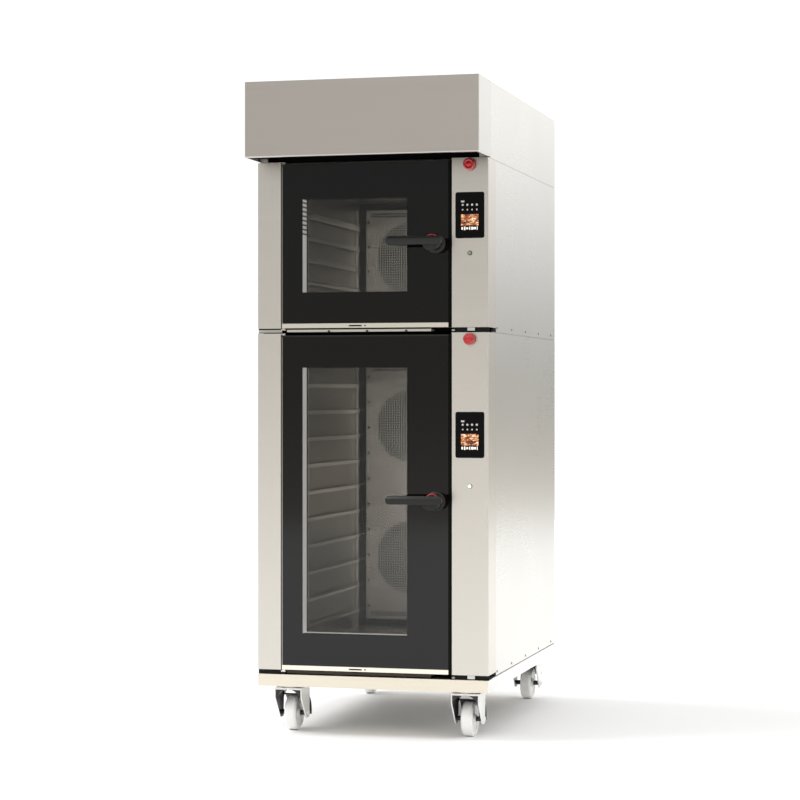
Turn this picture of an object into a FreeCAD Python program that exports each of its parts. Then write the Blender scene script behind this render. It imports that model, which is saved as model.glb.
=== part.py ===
"""Two stacked convection ovens with an extraction hood, on a castor base."""
import FreeCAD, Part
import os
import re
import Sketcher
from FreeCAD import Placement, Rotation, Vector

doc = FreeCAD.newDocument("convection_oven_stack")

# Driving dimensions in millimetres. X is centred, Z starts at the floor, and the
# expressions below measure Y from the front face of the stiles into the depth.
dimensions = {
    # overall
    "body_width": 850,
    "body_depth": 1255,
    "castor_height": 172.5,
    "plinth_height": 43,
    "lower_height": 1225,
    "upper_height": 614.5,
    "hood_height": 271,
    "hood_overhang": 152,
    # sheet metal and clearances
    "panel_gauge": 1.5,
    "panel_flange": 18,
    "panel_reveal": 4.3,
    "seam_gap": 0.3,
    "overcut": 1,
    "shadow_gap": 17,
    "head_gap": 1,
    "bolt_clearance": 0.25,
    "running_clearance": 0.1,
    "bend_radius": 3,
    "end_room": 0.5,
    # castor base
    "base_gauge": 3,
    "base_side_rail": 60,
    "base_cross_rail": 190,
    "castor_inset": 97,
    "castor_rear_inset": 102,
    "castor_plate_width": 105,
    "castor_plate_depth": 85,
    "castor_plate_gauge": 4,
    "castor_bolt_span_x": 80,
    "castor_bolt_span_y": 60,
    "castor_bolt_radius": 4,
    "castor_bolt_head": 5.3,
    "castor_bolt_head_radius": 7.5,
    "raceway_radius": 33,
    "raceway_height": 8.5,
    "kingpin_radius": 6,
    "kingpin_head_radius": 10,
    "kingpin_head": 5,
    "kingpin_head_gap": 1.6,
    "fork_width": 103,
    "fork_crown": 5,
    "fork_leg_gauge": 5,
    "fork_shoulder": 34.3,
    "fork_front_reach": 40,
    "fork_rear_reach": 62,
    "fork_foot_radius": 17,
    "castor_trail": 39,
    "wheel_radius": 62.5,
    "wheel_width": 42,
    "wheel_hub_radius": 17,
    "wheel_hub_width": 48,
    "wheel_dish": 6,
    "tyre_height": 15,
    "tread_edge": 6,
    "axle_radius": 5,
    "axle_collar_radius": 9,
    "axle_head_radius": 9,
    "axle_head": 5,
    # front: stile, control fascia and flange
    "stile_width": 88,
    "fascia_width": 133.6,
    "fascia_return": 126,
    "flange_setback": 70,
    # door
    "door_gap": 4,
    "door_gap_right": 1.9,
    "door_rise": 18,
    "door_drop": 8,
    "door_depth": 58,
    "door_skin": 2,
    "door_step": 6,
    "door_step_depth": 20,
    "glass_gauge": 6,
    "glass_proud": 2,
    "glass_edge_left": 2,
    "glass_edge_right": 8.5,
    "glass_edge_top": 5.3,
    "glass_edge_bottom": 16,
    "glass_lap": 15,
    "window_left": 75.6,
    "window_right": 158.5,
    "lower_window_sill": 149,
    "lower_window_head": 123.5,
    "upper_window_sill": 145.5,
    "upper_window_head": 134.5,
    "lamp_width": 15.7,
    "lamp_depth": 8,
    "gasket_gap": 0.5,
    "gasket_width": 16,
    "gasket_inset": 4,
    "hinge_inset": 5,
    "hinge_setback": 4,
    "hinge_pin_radius": 4,
    "hinge_collar_radius": 6,
    "hinge_plate": 5,
    "hinge_plate_half": 8,
    "hinge_plate_nose": 6,
    "hinge_block": 30,
    "hinge_gap_bottom": 3,
    "hinge_gap_top": 2,
    "hinge_reach_bottom": 12,
    "hinge_reach_top": 4,
    # door handle and latch
    "handle_from_edge": 53.5,
    "lower_handle_rise": 628,
    "upper_handle_rise": 314,
    "lever_reach": 163,
    "lever_tail": 40,
    "lever_height": 30,
    "lever_depth": 22,
    "lever_corner": 13.5,
    "lever_offset": 6.5,
    "boss_radius": 31,
    "boss_setback": 4,
    "lever_stand": 67,
    "rosette_radius": 35,
    "rosette_depth": 9,
    "neck_radius": 26,
    "indicator_radius": 28.5,
    "indicator_depth": 10,
    "spindle_radius": 10,
    "spindle_hole": 12,
    "latch_arm_reach": 30,
    "latch_arm_height": 12,
    "latch_arm_gauge": 6,
    "latch_arm_inset": 6,
    "keeper_width": 12,
    "keeper_height": 26,
    "keeper_overlap": 8,
    "keeper_nose": 5,
    "keeper_slot_clearance": 4,
    # controls
    "screen_width": 103.8,
    "screen_height": 162,
    "screen_lip": 3,
    "screen_proud": 2,
    "screen_depth": 20,
    "screen_corner": 7,
    "board_margin": 4,
    "board_gauge": 12,
    "lower_screen_rise": 863,
    "upper_screen_rise": 411.2,
    "stop_drop": 25,
    "lower_start_rise": 682.7,
    "upper_start_rise": 278.1,
    "stop_cap_radius": 21,
    "stop_cap_depth": 15,
    "stop_cap_rim": 9,
    "stop_face_radius": 15.8,
    "stop_stem_radius": 8,
    "stop_barrel_radius": 11,
    "stop_bezel_radius": 15,
    "stop_bezel_depth": 6,
    "stop_travel": 4,
    "start_cap_radius": 6,
    "start_cap_depth": 2,
    "start_stem_radius": 4,
    "start_barrel_radius": 6.5,
    "start_bezel_radius": 8.5,
    "start_bezel_depth": 2,
    "start_travel": 2,
    "switch_depth": 28,
    "switch_size": 34,
    # cooking chamber
    "chamber_gauge": 2,
    "chamber_side_lap": 21,
    "chamber_height_lap": 50,
    "motor_bay": 324,
    "insulation_gauge": 50,
    "plenum_depth": 90,
    "baffle_inset": 29,
    "baffle_slot": 26,
    "baffle_opening_radius": 142.5,
    "baffle_bar": 6,
    "baffle_bar_lap": 1,
    "fan_spacing": 513,
    "fan_radius": 125,
    "fan_depth": 58,
    "fan_gauge": 2,
    "fan_hub_radius": 22,
    "fan_eye_radius": 70,
    "fan_wall_gap": 12,
    "blade_count": 16,
    "shaft_radius": 8,
    "shaft_seat": 60,
    "shaft_clearance": 2,
    "motor_radius": 75,
    "motor_length": 170,
    "motor_flange": 6,
    "motor_flange_lip": 20,
    "element_ring_radius": 155,
    "element_radius": 5,
    "terminal_radius": 6,
    "element_setback": 45,
    # tray racks
    "upright_size": 12,
    "rack_front": 20,
    "rack_rear": 36,
    "rail_width": 24,
    "rail_gauge": 1.5,
    "rail_web": 16,
    "lower_rail_pitch": 97.1,
    "upper_rail_pitch": 79.7,
    "lower_rail_start": 72.5,
    "upper_rail_start": 20,
    "rail_top_room": 60,
    # drip gutters, rivets and rear services
    "gutter_left": 15,
    "gutter_right": 74.5,
    "gutter_height": 10,
    "gutter_rise": 4.3,
    "gutter_nose": 10,
    "kick_strip_setback": 12,
    "rivet_radius": 4,
    "rivet_head": 1.2,
    "rivet_inset": 145,
    "rivet_rise": 13,
    "rivet_rear_inset": 86,
    "rivet_count": 5,
    "gland_radius": 20,
    "pipe_radius": 13,
    "pipe_wall": 6,
    "service_rise": 110,
    "service_length": 35,
    # hood
    "hood_seam": 32.7,
    "hood_seam_gap": 0.9,
    "hood_edge_radius": 5,
    "hood_return": 10,
    "hood_lift": 2.6,
    "hood_fan_radius": 140,
    "hood_fan_depth": 80,
    "hood_fan_from_rear": 330,
    "hood_motor_height": 110,
    "hood_motor_radius": 70,
    "filter_inset": 24,
    "filter_depth": 25,
    "collar_radius": 75,
    "collar_height": 40,
    "collar_flange": 20,
}

sheet = doc.addObject("Spreadsheet::Sheet", "Dims")
for row, (alias, value) in enumerate(dimensions.items(), start=1):
    sheet.set(f"A{row}", alias)
    sheet.set(f"B{row}", str(value))
    sheet.setAlias(f"B{row}", alias)
doc.recompute()

nodes = []


def bound(expression):
    """The expression with each named dimension pointed at its spreadsheet cell."""
    def swap(match):
        word = match.group(0)
        return f"Dims.{word}" if word in dimensions else word
    return re.sub(r"[a-z_]+", swap, str(expression))


def number(expression):
    """The value that an expression has now."""
    return float(sheet.evalExpression(bound(expression)))


def place(thing, x, y, z, rotation=None):
    """Put an object at a point given by three expressions."""
    if rotation:
        thing.Placement = Placement(Vector(), rotation)
    for axis, expression in zip("xyz", (x, y, z)):
        thing.setExpression(f"Placement.Base.{axis}", bound(expression))
    return thing


def box(x, y, z):
    """A block between two expressions along each axis."""
    block = doc.addObject("Part::Box", "block")
    for side, (low, high) in zip(("Length", "Width", "Height"), (x, y, z)):
        block.setExpression(side, bound(f"({high}) - ({low})"))
    return place(block, x[0], y[0], z[0])


turned = {
    "x": Rotation(Vector(0, 1, 0), 90),
    "y": Rotation(Vector(1, 0, 0), -90),
    "z": Rotation(),
}


def rod(along, centre, radius, length):
    """A cylinder that runs in the positive direction of one axis from its centre."""
    cylinder = doc.addObject("Part::Cylinder", "rod")
    cylinder.setExpression("Radius", bound(radius))
    cylinder.setExpression("Height", bound(length))
    return place(cylinder, *centre, turned[along])


def fuse(*pieces):
    """One solid out of several pieces."""
    joined = doc.addObject("Part::MultiFuse", "joined")
    joined.Shapes = list(pieces)
    return joined


def cut(base, *tools):
    """The base with every tool taken away."""
    result = doc.addObject("Part::Cut", "trimmed")
    result.Base = base
    result.Tool = tools[0] if len(tools) == 1 else fuse(*tools)
    return result


# The whole object, with its hood, is centred front to back.
front_plane = "(hood_overhang - body_depth)/2"


def node(label, *pieces):
    """Name a sub-part made of one or more solids, and centre its depth."""
    part = doc.addObject("Part::Compound", "group")
    part.Links = list(pieces)
    part.Label = label
    place(part, "0", front_plane, "0")
    nodes.append(part)


def new_body(x="0", y="0", z="0"):
    """A body whose own origin stands at a point."""
    return place(doc.addObject("PartDesign::Body", "body"), x, y, z)


def sketch_on(body, plane, level):
    """A sketch on one of the body's origin planes, moved to a level along its axis."""
    sketch = body.newObject("Sketcher::SketchObject", "sketch")
    origin_plane = next(item for item in body.Origin.OriginFeatures if item.Role == plane)
    sketch.AttachmentSupport = [(origin_plane, "")]
    sketch.MapMode = "FlatFace"
    sign = "-" if plane == "XZ_Plane" else ""
    sketch.setExpression("AttachmentOffset.Base.z", bound(f"{sign}({level})"))
    return sketch


def tie(sketch, kind, geometry, point, expression):
    """Hold one coordinate of a sketch point to an expression."""
    index = sketch.addConstraint(Sketcher.Constraint(kind, geometry, point, number(expression)))
    sketch.setExpression(f"Constraints[{index}]", bound(expression))


def polygon(sketch, corners):
    """A closed outline through corners given as pairs of expressions."""
    points = [Vector(number(across), number(up), 0) for across, up in corners]
    first = sketch.GeometryCount
    for start, end in zip(points, points[1:] + points[:1]):
        sketch.addGeometry(Part.LineSegment(start, end), False)
    for index, (across, up) in enumerate(corners):
        line = first + index
        following = first + (index + 1) % len(corners)
        sketch.addConstraint(Sketcher.Constraint("Coincident", line, 2, following, 1))
        tie(sketch, "DistanceX", line, 1, across)
        tie(sketch, "DistanceY", line, 1, up)
    return sketch


def circle(sketch, across, up, radius):
    """A circle whose centre and radius are expressions."""
    centre = Vector(number(across), number(up), 0)
    geometry = sketch.addGeometry(Part.Circle(centre, Vector(0, 0, 1), number(radius)), False)
    tie(sketch, "DistanceX", geometry, 3, across)
    tie(sketch, "DistanceY", geometry, 3, up)
    index = sketch.addConstraint(Sketcher.Constraint("Radius", geometry, number(radius)))
    sketch.setExpression(f"Constraints[{index}]", bound(radius))
    return sketch


def pad(body, sketch, length):
    """Extrude a sketch in the positive direction of its axis."""
    feature = body.newObject("PartDesign::Pad", "pad")
    feature.Profile = sketch
    feature.Reversed = "XZ" in sketch.AttachmentSupport[0][0].Role
    feature.setExpression("Length", bound(length))
    return feature


def pocket(body, sketch, length):
    """Cut a sketch in the positive direction of its axis, and check that it cut."""
    doc.recompute()
    before = body.Shape.Volume
    feature = body.newObject("PartDesign::Pocket", "pocket")
    feature.Profile = sketch
    feature.Reversed = "XZ" not in sketch.AttachmentSupport[0][0].Role
    feature.setExpression("Length", bound(length))
    doc.recompute()
    if not body.Shape.Volume < before:
        raise RuntimeError(f"{feature.Label} cuts nothing")
    return feature


def revolve(body, sketch, axis="H_Axis"):
    """Turn a sketch once about one of its own axes."""
    feature = body.newObject("PartDesign::Revolution", "turned")
    feature.Profile = sketch
    feature.ReferenceAxis = (sketch, [axis])
    feature.Angle = 360
    return feature


def round_edges(body, feature, axis, radius, spots=None):
    """Round a feature's straight edges along one axis: all, or those over the given points."""
    doc.recompute()
    others = [name for name in "XYZ" if name != axis]
    wanted = spots and [[number(part) for part in spot] for spot in spots]
    edges = []
    for index, edge in enumerate(feature.Shape.Edges, start=1):
        limits = edge.BoundBox
        if any(getattr(limits, f"{name}Length") > 0.01 for name in others):
            continue
        here = [getattr(limits, f"{name}Min") for name in others]
        if not wanted or any(abs(here[0] - spot[0]) + abs(here[1] - spot[1]) < 0.01 for spot in wanted):
            edges.append(f"Edge{index}")
    rounding = body.newObject("PartDesign::Fillet", "rounding")
    rounding.Base = (feature, edges)
    rounding.setExpression("Radius", bound(radius))
    return rounding


def extrusion(plane, corners, start, end):
    """A body padded from one outline between two levels."""
    body = new_body()
    pad(body, polygon(sketch_on(body, plane, start), corners), f"({end}) - ({start})")
    return body


def rounded_plate(across, depth, up, radius):
    """An upright plate with four rounded corners."""
    corners = [(across[0], up[0]), (across[1], up[0]), (across[1], up[1]), (across[0], up[1])]
    plate = extrusion("XZ_Plane", corners, *depth)
    round_edges(plate, plate.Tip, "Y", radius)
    return plate


left_side = "-body_width/2"
right_side = "body_width/2"
inner_width = ("panel_gauge - body_width/2", "body_width/2 - panel_gauge")
plinth_top = "(castor_height + plinth_height)"
oven_joint = f"({plinth_top} + lower_height)"
ovens_top = f"({oven_joint} + upper_height)"
hood_top = f"({ovens_top} + hood_height)"

# Door, window and chamber limits across the width, shared by both ovens.
door_left = "(stile_width + door_gap - body_width/2)"
door_right = "(body_width/2 - fascia_width - door_gap_right)"
window_from = f"({door_left} + window_left)"
window_to = f"({door_right} - window_right)"
chamber_from = f"({window_from} - chamber_side_lap)"
chamber_to = f"({window_to} + chamber_side_lap)"
chamber_centre = f"(({chamber_from} + {chamber_to})/2)"
hinge_line = f"({door_left} + hinge_inset)"
handle_line = f"({door_right} - handle_from_edge)"
keeper_line = f"({handle_line} + latch_arm_reach - keeper_overlap)"
fascia_centre = "(body_width/2 - fascia_width/2)"

# Depths behind the front plane.
door_back = "(door_depth)"
chamber_rear = "(body_depth - motor_bay)"
baffle_front = f"({chamber_rear} - chamber_gauge - plenum_depth)"
insulation_rear = f"({chamber_rear} + insulation_gauge)"
button_reach = "switch_depth/2"
shaft_hole = "(shaft_radius + shaft_clearance)"
hood_fan_y = "(body_depth - hood_fan_from_rear)"
hood_split = "(hood_seam - hood_seam_gap)"


class Oven:
    """The heights of one oven, as expressions."""

    def __init__(self, name, base, top, fan_offsets):
        self.name = name
        self.base = base
        self.top = top
        self.door_from = f"({base} + door_rise)"
        self.door_to = f"({top} - door_drop)"
        self.window = (f"({base} + {name}_window_sill)", f"({top} - {name}_window_head)")
        self.floor = f"({self.window[0]} - chamber_height_lap)"
        self.ceiling = f"({self.window[1]} + chamber_height_lap)"
        middle = f"(({self.floor} + {self.ceiling})/2)"
        self.fans = [f"({middle} + {offset})" for offset in fan_offsets]
        self.handle = f"({base} + {name}_handle_rise)"
        self.screen = f"({base} + {name}_screen_rise)"
        self.start = f"({base} + {name}_start_rise)"
        self.stop = f"({top} - stop_drop)"


lower = Oven("lower", plinth_top, oven_joint, ["fan_spacing/2", "-fan_spacing/2"])
upper = Oven("upper", oven_joint, ovens_top, ["0"])
ovens = [lower, upper]


# Castor base ---------------------------------------------------------------

castor_x = "(body_width/2 - castor_inset)"
castor_places = {
    "front_left": (f"-{castor_x}", "(base_cross_rail/2)"),
    "front_right": (castor_x, "(base_cross_rail/2)"),
    "rear_left": (f"-{castor_x}", "(body_depth - castor_rear_inset)"),
    "rear_right": (castor_x, "(body_depth - castor_rear_inset)"),
}
plate_bottom = "(castor_height - castor_plate_gauge)"
fork_top = f"({plate_bottom} - raceway_height - seam_gap)"
fork_leg_inner = "(fork_width/2 - fork_leg_gauge)"


def bolt_places(x, y):
    """The four bolt positions around one castor."""
    for across in ("-", "+"):
        for along in ("-", "+"):
            yield f"{x} {across} castor_bolt_span_x/2", f"{y} {along} castor_bolt_span_y/2"


def bolt_holes():
    """A clearance drill for every castor bolt, through the plate and the frame's floor."""
    holes = []
    for x, y in castor_places.values():
        for bolt_x, bolt_y in bolt_places(x, y):
            start = f"{plate_bottom} - castor_bolt_head"
            reach = "castor_plate_gauge + castor_bolt_head + 2*base_gauge"
            holes.append(rod("z", (bolt_x, bolt_y, start), "castor_bolt_radius + bolt_clearance", reach))
    return holes


def base_frame():
    """A channel frame that opens inwards, wide at the castors."""
    span = (left_side, right_side)
    block = box(span, ("0", "body_depth"), ("castor_height", plinth_top))
    well = box(
        ("base_side_rail - body_width/2", "body_width/2 - base_side_rail"),
        ("base_cross_rail", "body_depth - base_cross_rail"),
        ("castor_height", plinth_top),
    )
    hollow = box(
        ("base_gauge - body_width/2", "body_width/2 - base_gauge"),
        ("base_gauge", "body_depth - base_gauge"),
        ("castor_height + base_gauge", f"{plinth_top} - base_gauge"),
    )
    node("base_frame", cut(block, well, hollow, *bolt_holes()))


def castor_plates():
    """Swivel plates, each with its raceway and kingpin."""
    plates = []
    for x, y in castor_places.values():
        plate = box(
            (f"{x} - castor_plate_width/2", f"{x} + castor_plate_width/2"),
            (f"{y} - castor_plate_depth/2", f"{y} + castor_plate_depth/2"),
            (plate_bottom, "castor_height"),
        )
        raceway = rod("z", (x, y, f"{plate_bottom} - raceway_height"), "raceway_radius", "raceway_height")
        pin_bottom = f"{fork_top} - fork_crown - kingpin_head_gap - kingpin_head"
        pin = rod("z", (x, y, pin_bottom), "kingpin_radius", f"castor_height - ({pin_bottom})")
        head = rod("z", (x, y, pin_bottom), "kingpin_head_radius", "kingpin_head")
        plates.append(fuse(plate, raceway, pin, head))
    drilled = [cut(plate, *bolt_holes()[4 * index:4 * index + 4]) for index, plate in enumerate(plates)]
    node("castor_plates", *drilled)


def castor_bolts():
    """Hexagon bolts that hold the swivel plates to the frame."""
    bolts = []
    for x, y in castor_places.values():
        for bolt_x, bolt_y in bolt_places(x, y):
            start = f"{plate_bottom} - castor_bolt_head"
            head = doc.addObject("Part::Prism", "head")
            head.Polygon = 6
            head.setExpression("Circumradius", bound("castor_bolt_head_radius"))
            head.setExpression("Height", bound("castor_bolt_head"))
            place(head, bolt_x, bolt_y, start)
            reach = "castor_plate_gauge + castor_bolt_head + 2*base_gauge"
            shank = rod("z", (bolt_x, bolt_y, start), "castor_bolt_radius", reach)
            bolts.append(fuse(head, shank))
    node("castor_bolts", *bolts)


def castor_fork(label, x, y):
    """A hooded fork with an arched opening front and rear, and its axle."""
    fork = new_body(x, y)
    foot = "(wheel_radius - fork_foot_radius)"
    shoulder = f"({fork_top} - fork_shoulder)"
    silhouette = [
        ("-fork_front_reach", fork_top),
        ("-fork_front_reach", shoulder),
        ("castor_trail - fork_foot_radius", foot),
        ("castor_trail + fork_foot_radius", foot),
        ("fork_rear_reach", shoulder),
        ("fork_rear_reach", fork_top),
    ]
    pad(fork, polygon(sketch_on(fork, "YZ_Plane", "-fork_width/2"), silhouette), "fork_width")
    arch_centre = f"({fork_top} - fork_crown - {fork_leg_inner})"
    throat = [
        (f"-{fork_leg_inner}", f"{foot} - overcut"),
        (fork_leg_inner, f"{foot} - overcut"),
        (fork_leg_inner, arch_centre),
        (f"-{fork_leg_inner}", arch_centre),
    ]
    through = "fork_front_reach + fork_rear_reach"
    pocket(fork, polygon(sketch_on(fork, "XZ_Plane", "-fork_front_reach"), throat), through)
    arch = circle(sketch_on(fork, "XZ_Plane", "-fork_front_reach"), "0", arch_centre, fork_leg_inner)
    pocket(fork, arch, through)
    pin_hole = circle(sketch_on(fork, "XY_Plane", foot), "0", "0", "kingpin_radius + running_clearance")
    pocket(fork, pin_hole, f"{fork_top} - {foot}")
    axle_hole = sketch_on(fork, "YZ_Plane", "-fork_width/2")
    circle(axle_hole, "castor_trail", "wheel_radius", "axle_radius + running_clearance")
    pocket(fork, axle_hole, "fork_width")

    axle_y = f"{y} + castor_trail"
    collar = f"({fork_leg_inner} - wheel_hub_width/2 - seam_gap)"
    near_end = (f"{x} - fork_width/2 - axle_head", axle_y, "wheel_radius")
    axle = fuse(
        rod("x", near_end, "axle_radius", "fork_width + 2*axle_head"),
        rod("x", near_end, "axle_head_radius", "axle_head"),
        rod("x", (f"{x} + fork_width/2", axle_y, "wheel_radius"), "axle_head_radius", "axle_head"),
        rod("x", (f"{x} - {fork_leg_inner}", axle_y, "wheel_radius"), "axle_collar_radius", collar),
        rod("x", (f"{x} + {fork_leg_inner} - {collar}", axle_y, "wheel_radius"), "axle_collar_radius", collar),
    )
    node(label, fork, axle)


def castor_wheel(label, x, y):
    """A moulded wheel: tread, dished sides and a hub, turned about its axle."""
    wheel = new_body(x, f"{y} + castor_trail", "wheel_radius")
    bore = "(axle_radius + running_clearance)"
    rim = "(wheel_radius - tyre_height)"
    right_half = [
        ("wheel_hub_width/2", bore),
        ("wheel_hub_width/2", "wheel_hub_radius"),
        ("wheel_width/2 - wheel_dish", "wheel_hub_radius"),
        ("wheel_width/2 - wheel_dish", rim),
        ("wheel_width/2", rim),
        ("wheel_width/2", "wheel_radius - tread_edge"),
        ("wheel_width/2 - tread_edge", "wheel_radius"),
    ]
    left_half = [(f"-({across})", up) for across, up in reversed(right_half)]
    revolve(wheel, polygon(sketch_on(wheel, "XZ_Plane", "0"), right_half + left_half))
    node(label, wheel)


# Oven bodies ---------------------------------------------------------------


def frame_limits(oven):
    """Bottom and top of the stile and fascia, clear of the shadow gap."""
    return f"({oven.base} + shadow_gap)", f"({oven.top} - head_gap)"


def casing(oven):
    """Floor, rear wall and top cover folded from one sheet."""
    front = "(flange_setback + panel_gauge)"
    rear = "body_depth"
    corners = [
        (front, oven.base),
        (rear, oven.base),
        (rear, oven.top),
        (front, oven.top),
        (front, f"{oven.top} - panel_gauge"),
        (f"{rear} - panel_gauge", f"{oven.top} - panel_gauge"),
        (f"{rear} - panel_gauge", f"{oven.base} + panel_gauge"),
        (front, f"{oven.base} + panel_gauge"),
    ]
    node(f"{oven.name}_casing", extrusion("YZ_Plane", corners, *inner_width))


def side_panels(oven):
    """Left and right cover sheets with a folded front edge."""
    start = f"{oven.base} + panel_gauge + seam_gap"
    if oven is lower:
        start = f"{oven.base} + panel_reveal"
    panels = []
    for sign in ("-", ""):
        outer = f"{sign}(body_width/2)"
        inner = f"{sign}(body_width/2 - panel_gauge)"
        lip = f"{sign}(body_width/2 - panel_flange)"
        front = "(fascia_return + seam_gap)"
        corners = [
            (outer, front),
            (outer, "body_depth"),
            (inner, "body_depth"),
            (inner, f"{front} + panel_gauge"),
            (lip, f"{front} + panel_gauge"),
            (lip, front),
        ]
        panels.append(extrusion("XY_Plane", corners, start, f"{oven.top} - panel_gauge - seam_gap"))
    node(f"{oven.name}_side_panels", *panels)


def folded_front(oven, outer, inner, gauge_out, gauge_in):
    """A bent front sheet with a deep return outside and a short one inside."""
    plan = [
        (outer, "0"),
        (inner, "0"),
        (inner, "flange_setback"),
        (gauge_in, "flange_setback"),
        (gauge_in, "panel_gauge"),
        (gauge_out, "panel_gauge"),
        (gauge_out, "fascia_return"),
        (outer, "fascia_return"),
    ]
    sheet_body = extrusion("XY_Plane", plan, *frame_limits(oven))
    outside = round_edges(sheet_body, sheet_body.Tip, "Z", "bend_radius", plan[0:2])
    round_edges(sheet_body, outside, "Z", "bend_radius - panel_gauge", plan[4:6])
    return sheet_body


def left_stile(oven):
    """The plain upright left of the door."""
    inner = "(stile_width - body_width/2)"
    stile = folded_front(oven, left_side, inner, "panel_gauge - body_width/2", f"{inner} - panel_gauge")
    node(f"{oven.name}_left_stile", stile)


def screen_limits(oven, margin="0"):
    """Width and height of a touch screen, drawn in by a margin."""
    across = (f"{fascia_centre} - screen_width/2 + {margin}", f"{fascia_centre} + screen_width/2 - {margin}")
    up = (f"{oven.screen} - screen_height/2 + {margin}", f"{oven.screen} + screen_height/2 - {margin}")
    return across, up


def control_fascia(oven):
    """The upright right of the door, cut out for the screen and the two buttons."""
    inner = "(body_width/2 - fascia_width)"
    fascia = folded_front(oven, right_side, inner, "body_width/2 - panel_gauge", f"{inner} + panel_gauge")
    across, up = screen_limits(oven, "screen_lip")
    corners = [(across[0], up[0]), (across[1], up[0]), (across[1], up[1]), (across[0], up[1])]
    pocket(fascia, polygon(sketch_on(fascia, "XZ_Plane", "0"), corners), "panel_gauge")
    for height, radius in ((oven.stop, "stop_barrel_radius"), (oven.start, "start_barrel_radius")):
        hole = circle(sketch_on(fascia, "XZ_Plane", "0"), fascia_centre, height, f"{radius} + bolt_clearance")
        pocket(fascia, hole, "panel_gauge")
    node(f"{oven.name}_control_fascia", fascia)


def chamber(oven):
    """The cooking chamber: a box open at the front, with the flange that carries it."""
    flange = box(
        (inner_width[0], "body_width/2 - fascia_width"),
        ("flange_setback", "flange_setback + panel_gauge"),
        (oven.base, oven.top),
    )
    walls = box(
        (f"{chamber_from} - chamber_gauge", f"{chamber_to} + chamber_gauge"),
        ("flange_setback", chamber_rear),
        (f"{oven.floor} - chamber_gauge", f"{oven.ceiling} + chamber_gauge"),
    )
    cavity = box(
        (chamber_from, chamber_to),
        ("flange_setback", f"{chamber_rear} - chamber_gauge"),
        (oven.floor, oven.ceiling),
    )
    holes = [rod("y", (chamber_centre, baffle_front, height), shaft_hole, f"{chamber_rear} - {baffle_front}")
             for height in oven.fans]
    node(f"{oven.name}_chamber", cut(fuse(flange, walls), cavity, *holes))


def air_baffle(oven):
    """A panel ahead of the fans, with side returns and one guarded inlet per fan."""
    left = f"({chamber_from} + baffle_inset)"
    right = f"({chamber_to} - baffle_inset)"
    rear = f"({chamber_rear} - chamber_gauge)"
    plan = [
        (left, rear),
        (left, baffle_front),
        (right, baffle_front),
        (right, rear),
        (f"{right} - panel_gauge", rear),
        (f"{right} - panel_gauge", f"{baffle_front} + panel_gauge"),
        (f"{left} + panel_gauge", f"{baffle_front} + panel_gauge"),
        (f"{left} + panel_gauge", rear),
    ]
    limits = (f"{oven.floor} + baffle_slot", f"{oven.ceiling} - baffle_slot")
    panel = extrusion("XY_Plane", plan, *limits)
    inlets = [rod("y", (chamber_centre, baffle_front, height), "baffle_opening_radius", "panel_gauge")
              for height in oven.fans]
    bars = []
    for height in oven.fans:
        half = "baffle_bar/2"
        sheet_depth = (baffle_front, f"{baffle_front} + panel_gauge")
        reach = "(baffle_opening_radius + baffle_bar_lap)"
        bars.append(box(
            (f"{chamber_centre} - {half}", f"{chamber_centre} + {half}"),
            sheet_depth,
            (f"{height} - {reach}", f"{height} + {reach}"),
        ))
        bars.append(box(
            (f"{chamber_centre} - {reach}", f"{chamber_centre} + {reach}"),
            sheet_depth,
            (f"{height} - {half}", f"{height} + {half}"),
        ))
    node(f"{oven.name}_air_baffle", fuse(cut(panel, *inlets), *bars))


def rail_levels(oven):
    """Heights of the tray rails: as many as the chamber has room for."""
    room = number(f"{oven.ceiling} - {oven.floor} - {oven.name}_rail_start - rail_top_room")
    count = int(room // number(f"{oven.name}_rail_pitch")) + 1
    first = f"{oven.floor} + {oven.name}_rail_start"
    return [f"({first} + {level}*{oven.name}_rail_pitch)" for level in range(count)]


def shelf_racks(oven):
    """Two uprights and a row of angle rails on each side of the chamber."""
    pieces = []
    front = "(flange_setback + rack_front)"
    rear = f"({baffle_front} - rack_rear)"
    for wall, sign in ((chamber_from, "+"), (chamber_to, "-")):
        face = f"({wall} {sign} upright_size)"
        tip = f"({wall} {sign} upright_size {sign} rail_width)"
        web = f"({wall} {sign} upright_size {sign} rail_gauge)"
        span = (wall, face) if sign == "+" else (face, wall)
        top = (face, tip) if sign == "+" else (tip, face)
        side = (face, web) if sign == "+" else (web, face)
        height = (oven.floor, f"{oven.ceiling} - rail_top_room/2")
        for start in (f"{front} + upright_size", f"{rear} - 2*upright_size"):
            pieces.append(box(span, (start, f"{start} + upright_size"), height))
        for level in rail_levels(oven):
            tread = box(top, (front, rear), (f"{level} - rail_gauge", level))
            hanger = box(side, (front, rear), (f"{level} - rail_web", level))
            pieces.append(fuse(tread, hanger))
    node(f"{oven.name}_shelf_racks", *pieces)


def door_gaskets():
    """A seal around the mouth of each chamber, pressed on the flange."""
    seals = []
    for oven in ovens:
        depth = (f"{door_back} + gasket_gap", "flange_setback")
        inner = "gasket_inset"
        outer = "(gasket_inset + gasket_width)"
        ring = box((f"{chamber_from} - {outer}", f"{chamber_to} + {outer}"), depth,
                   (f"{oven.floor} - {outer}", f"{oven.ceiling} + {outer}"))
        mouth = box((f"{chamber_from} - {inner}", f"{chamber_to} + {inner}"), depth,
                    (f"{oven.floor} - {inner}", f"{oven.ceiling} + {inner}"))
        seals.append(cut(ring, mouth))
    node("door_gaskets", *seals)


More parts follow.
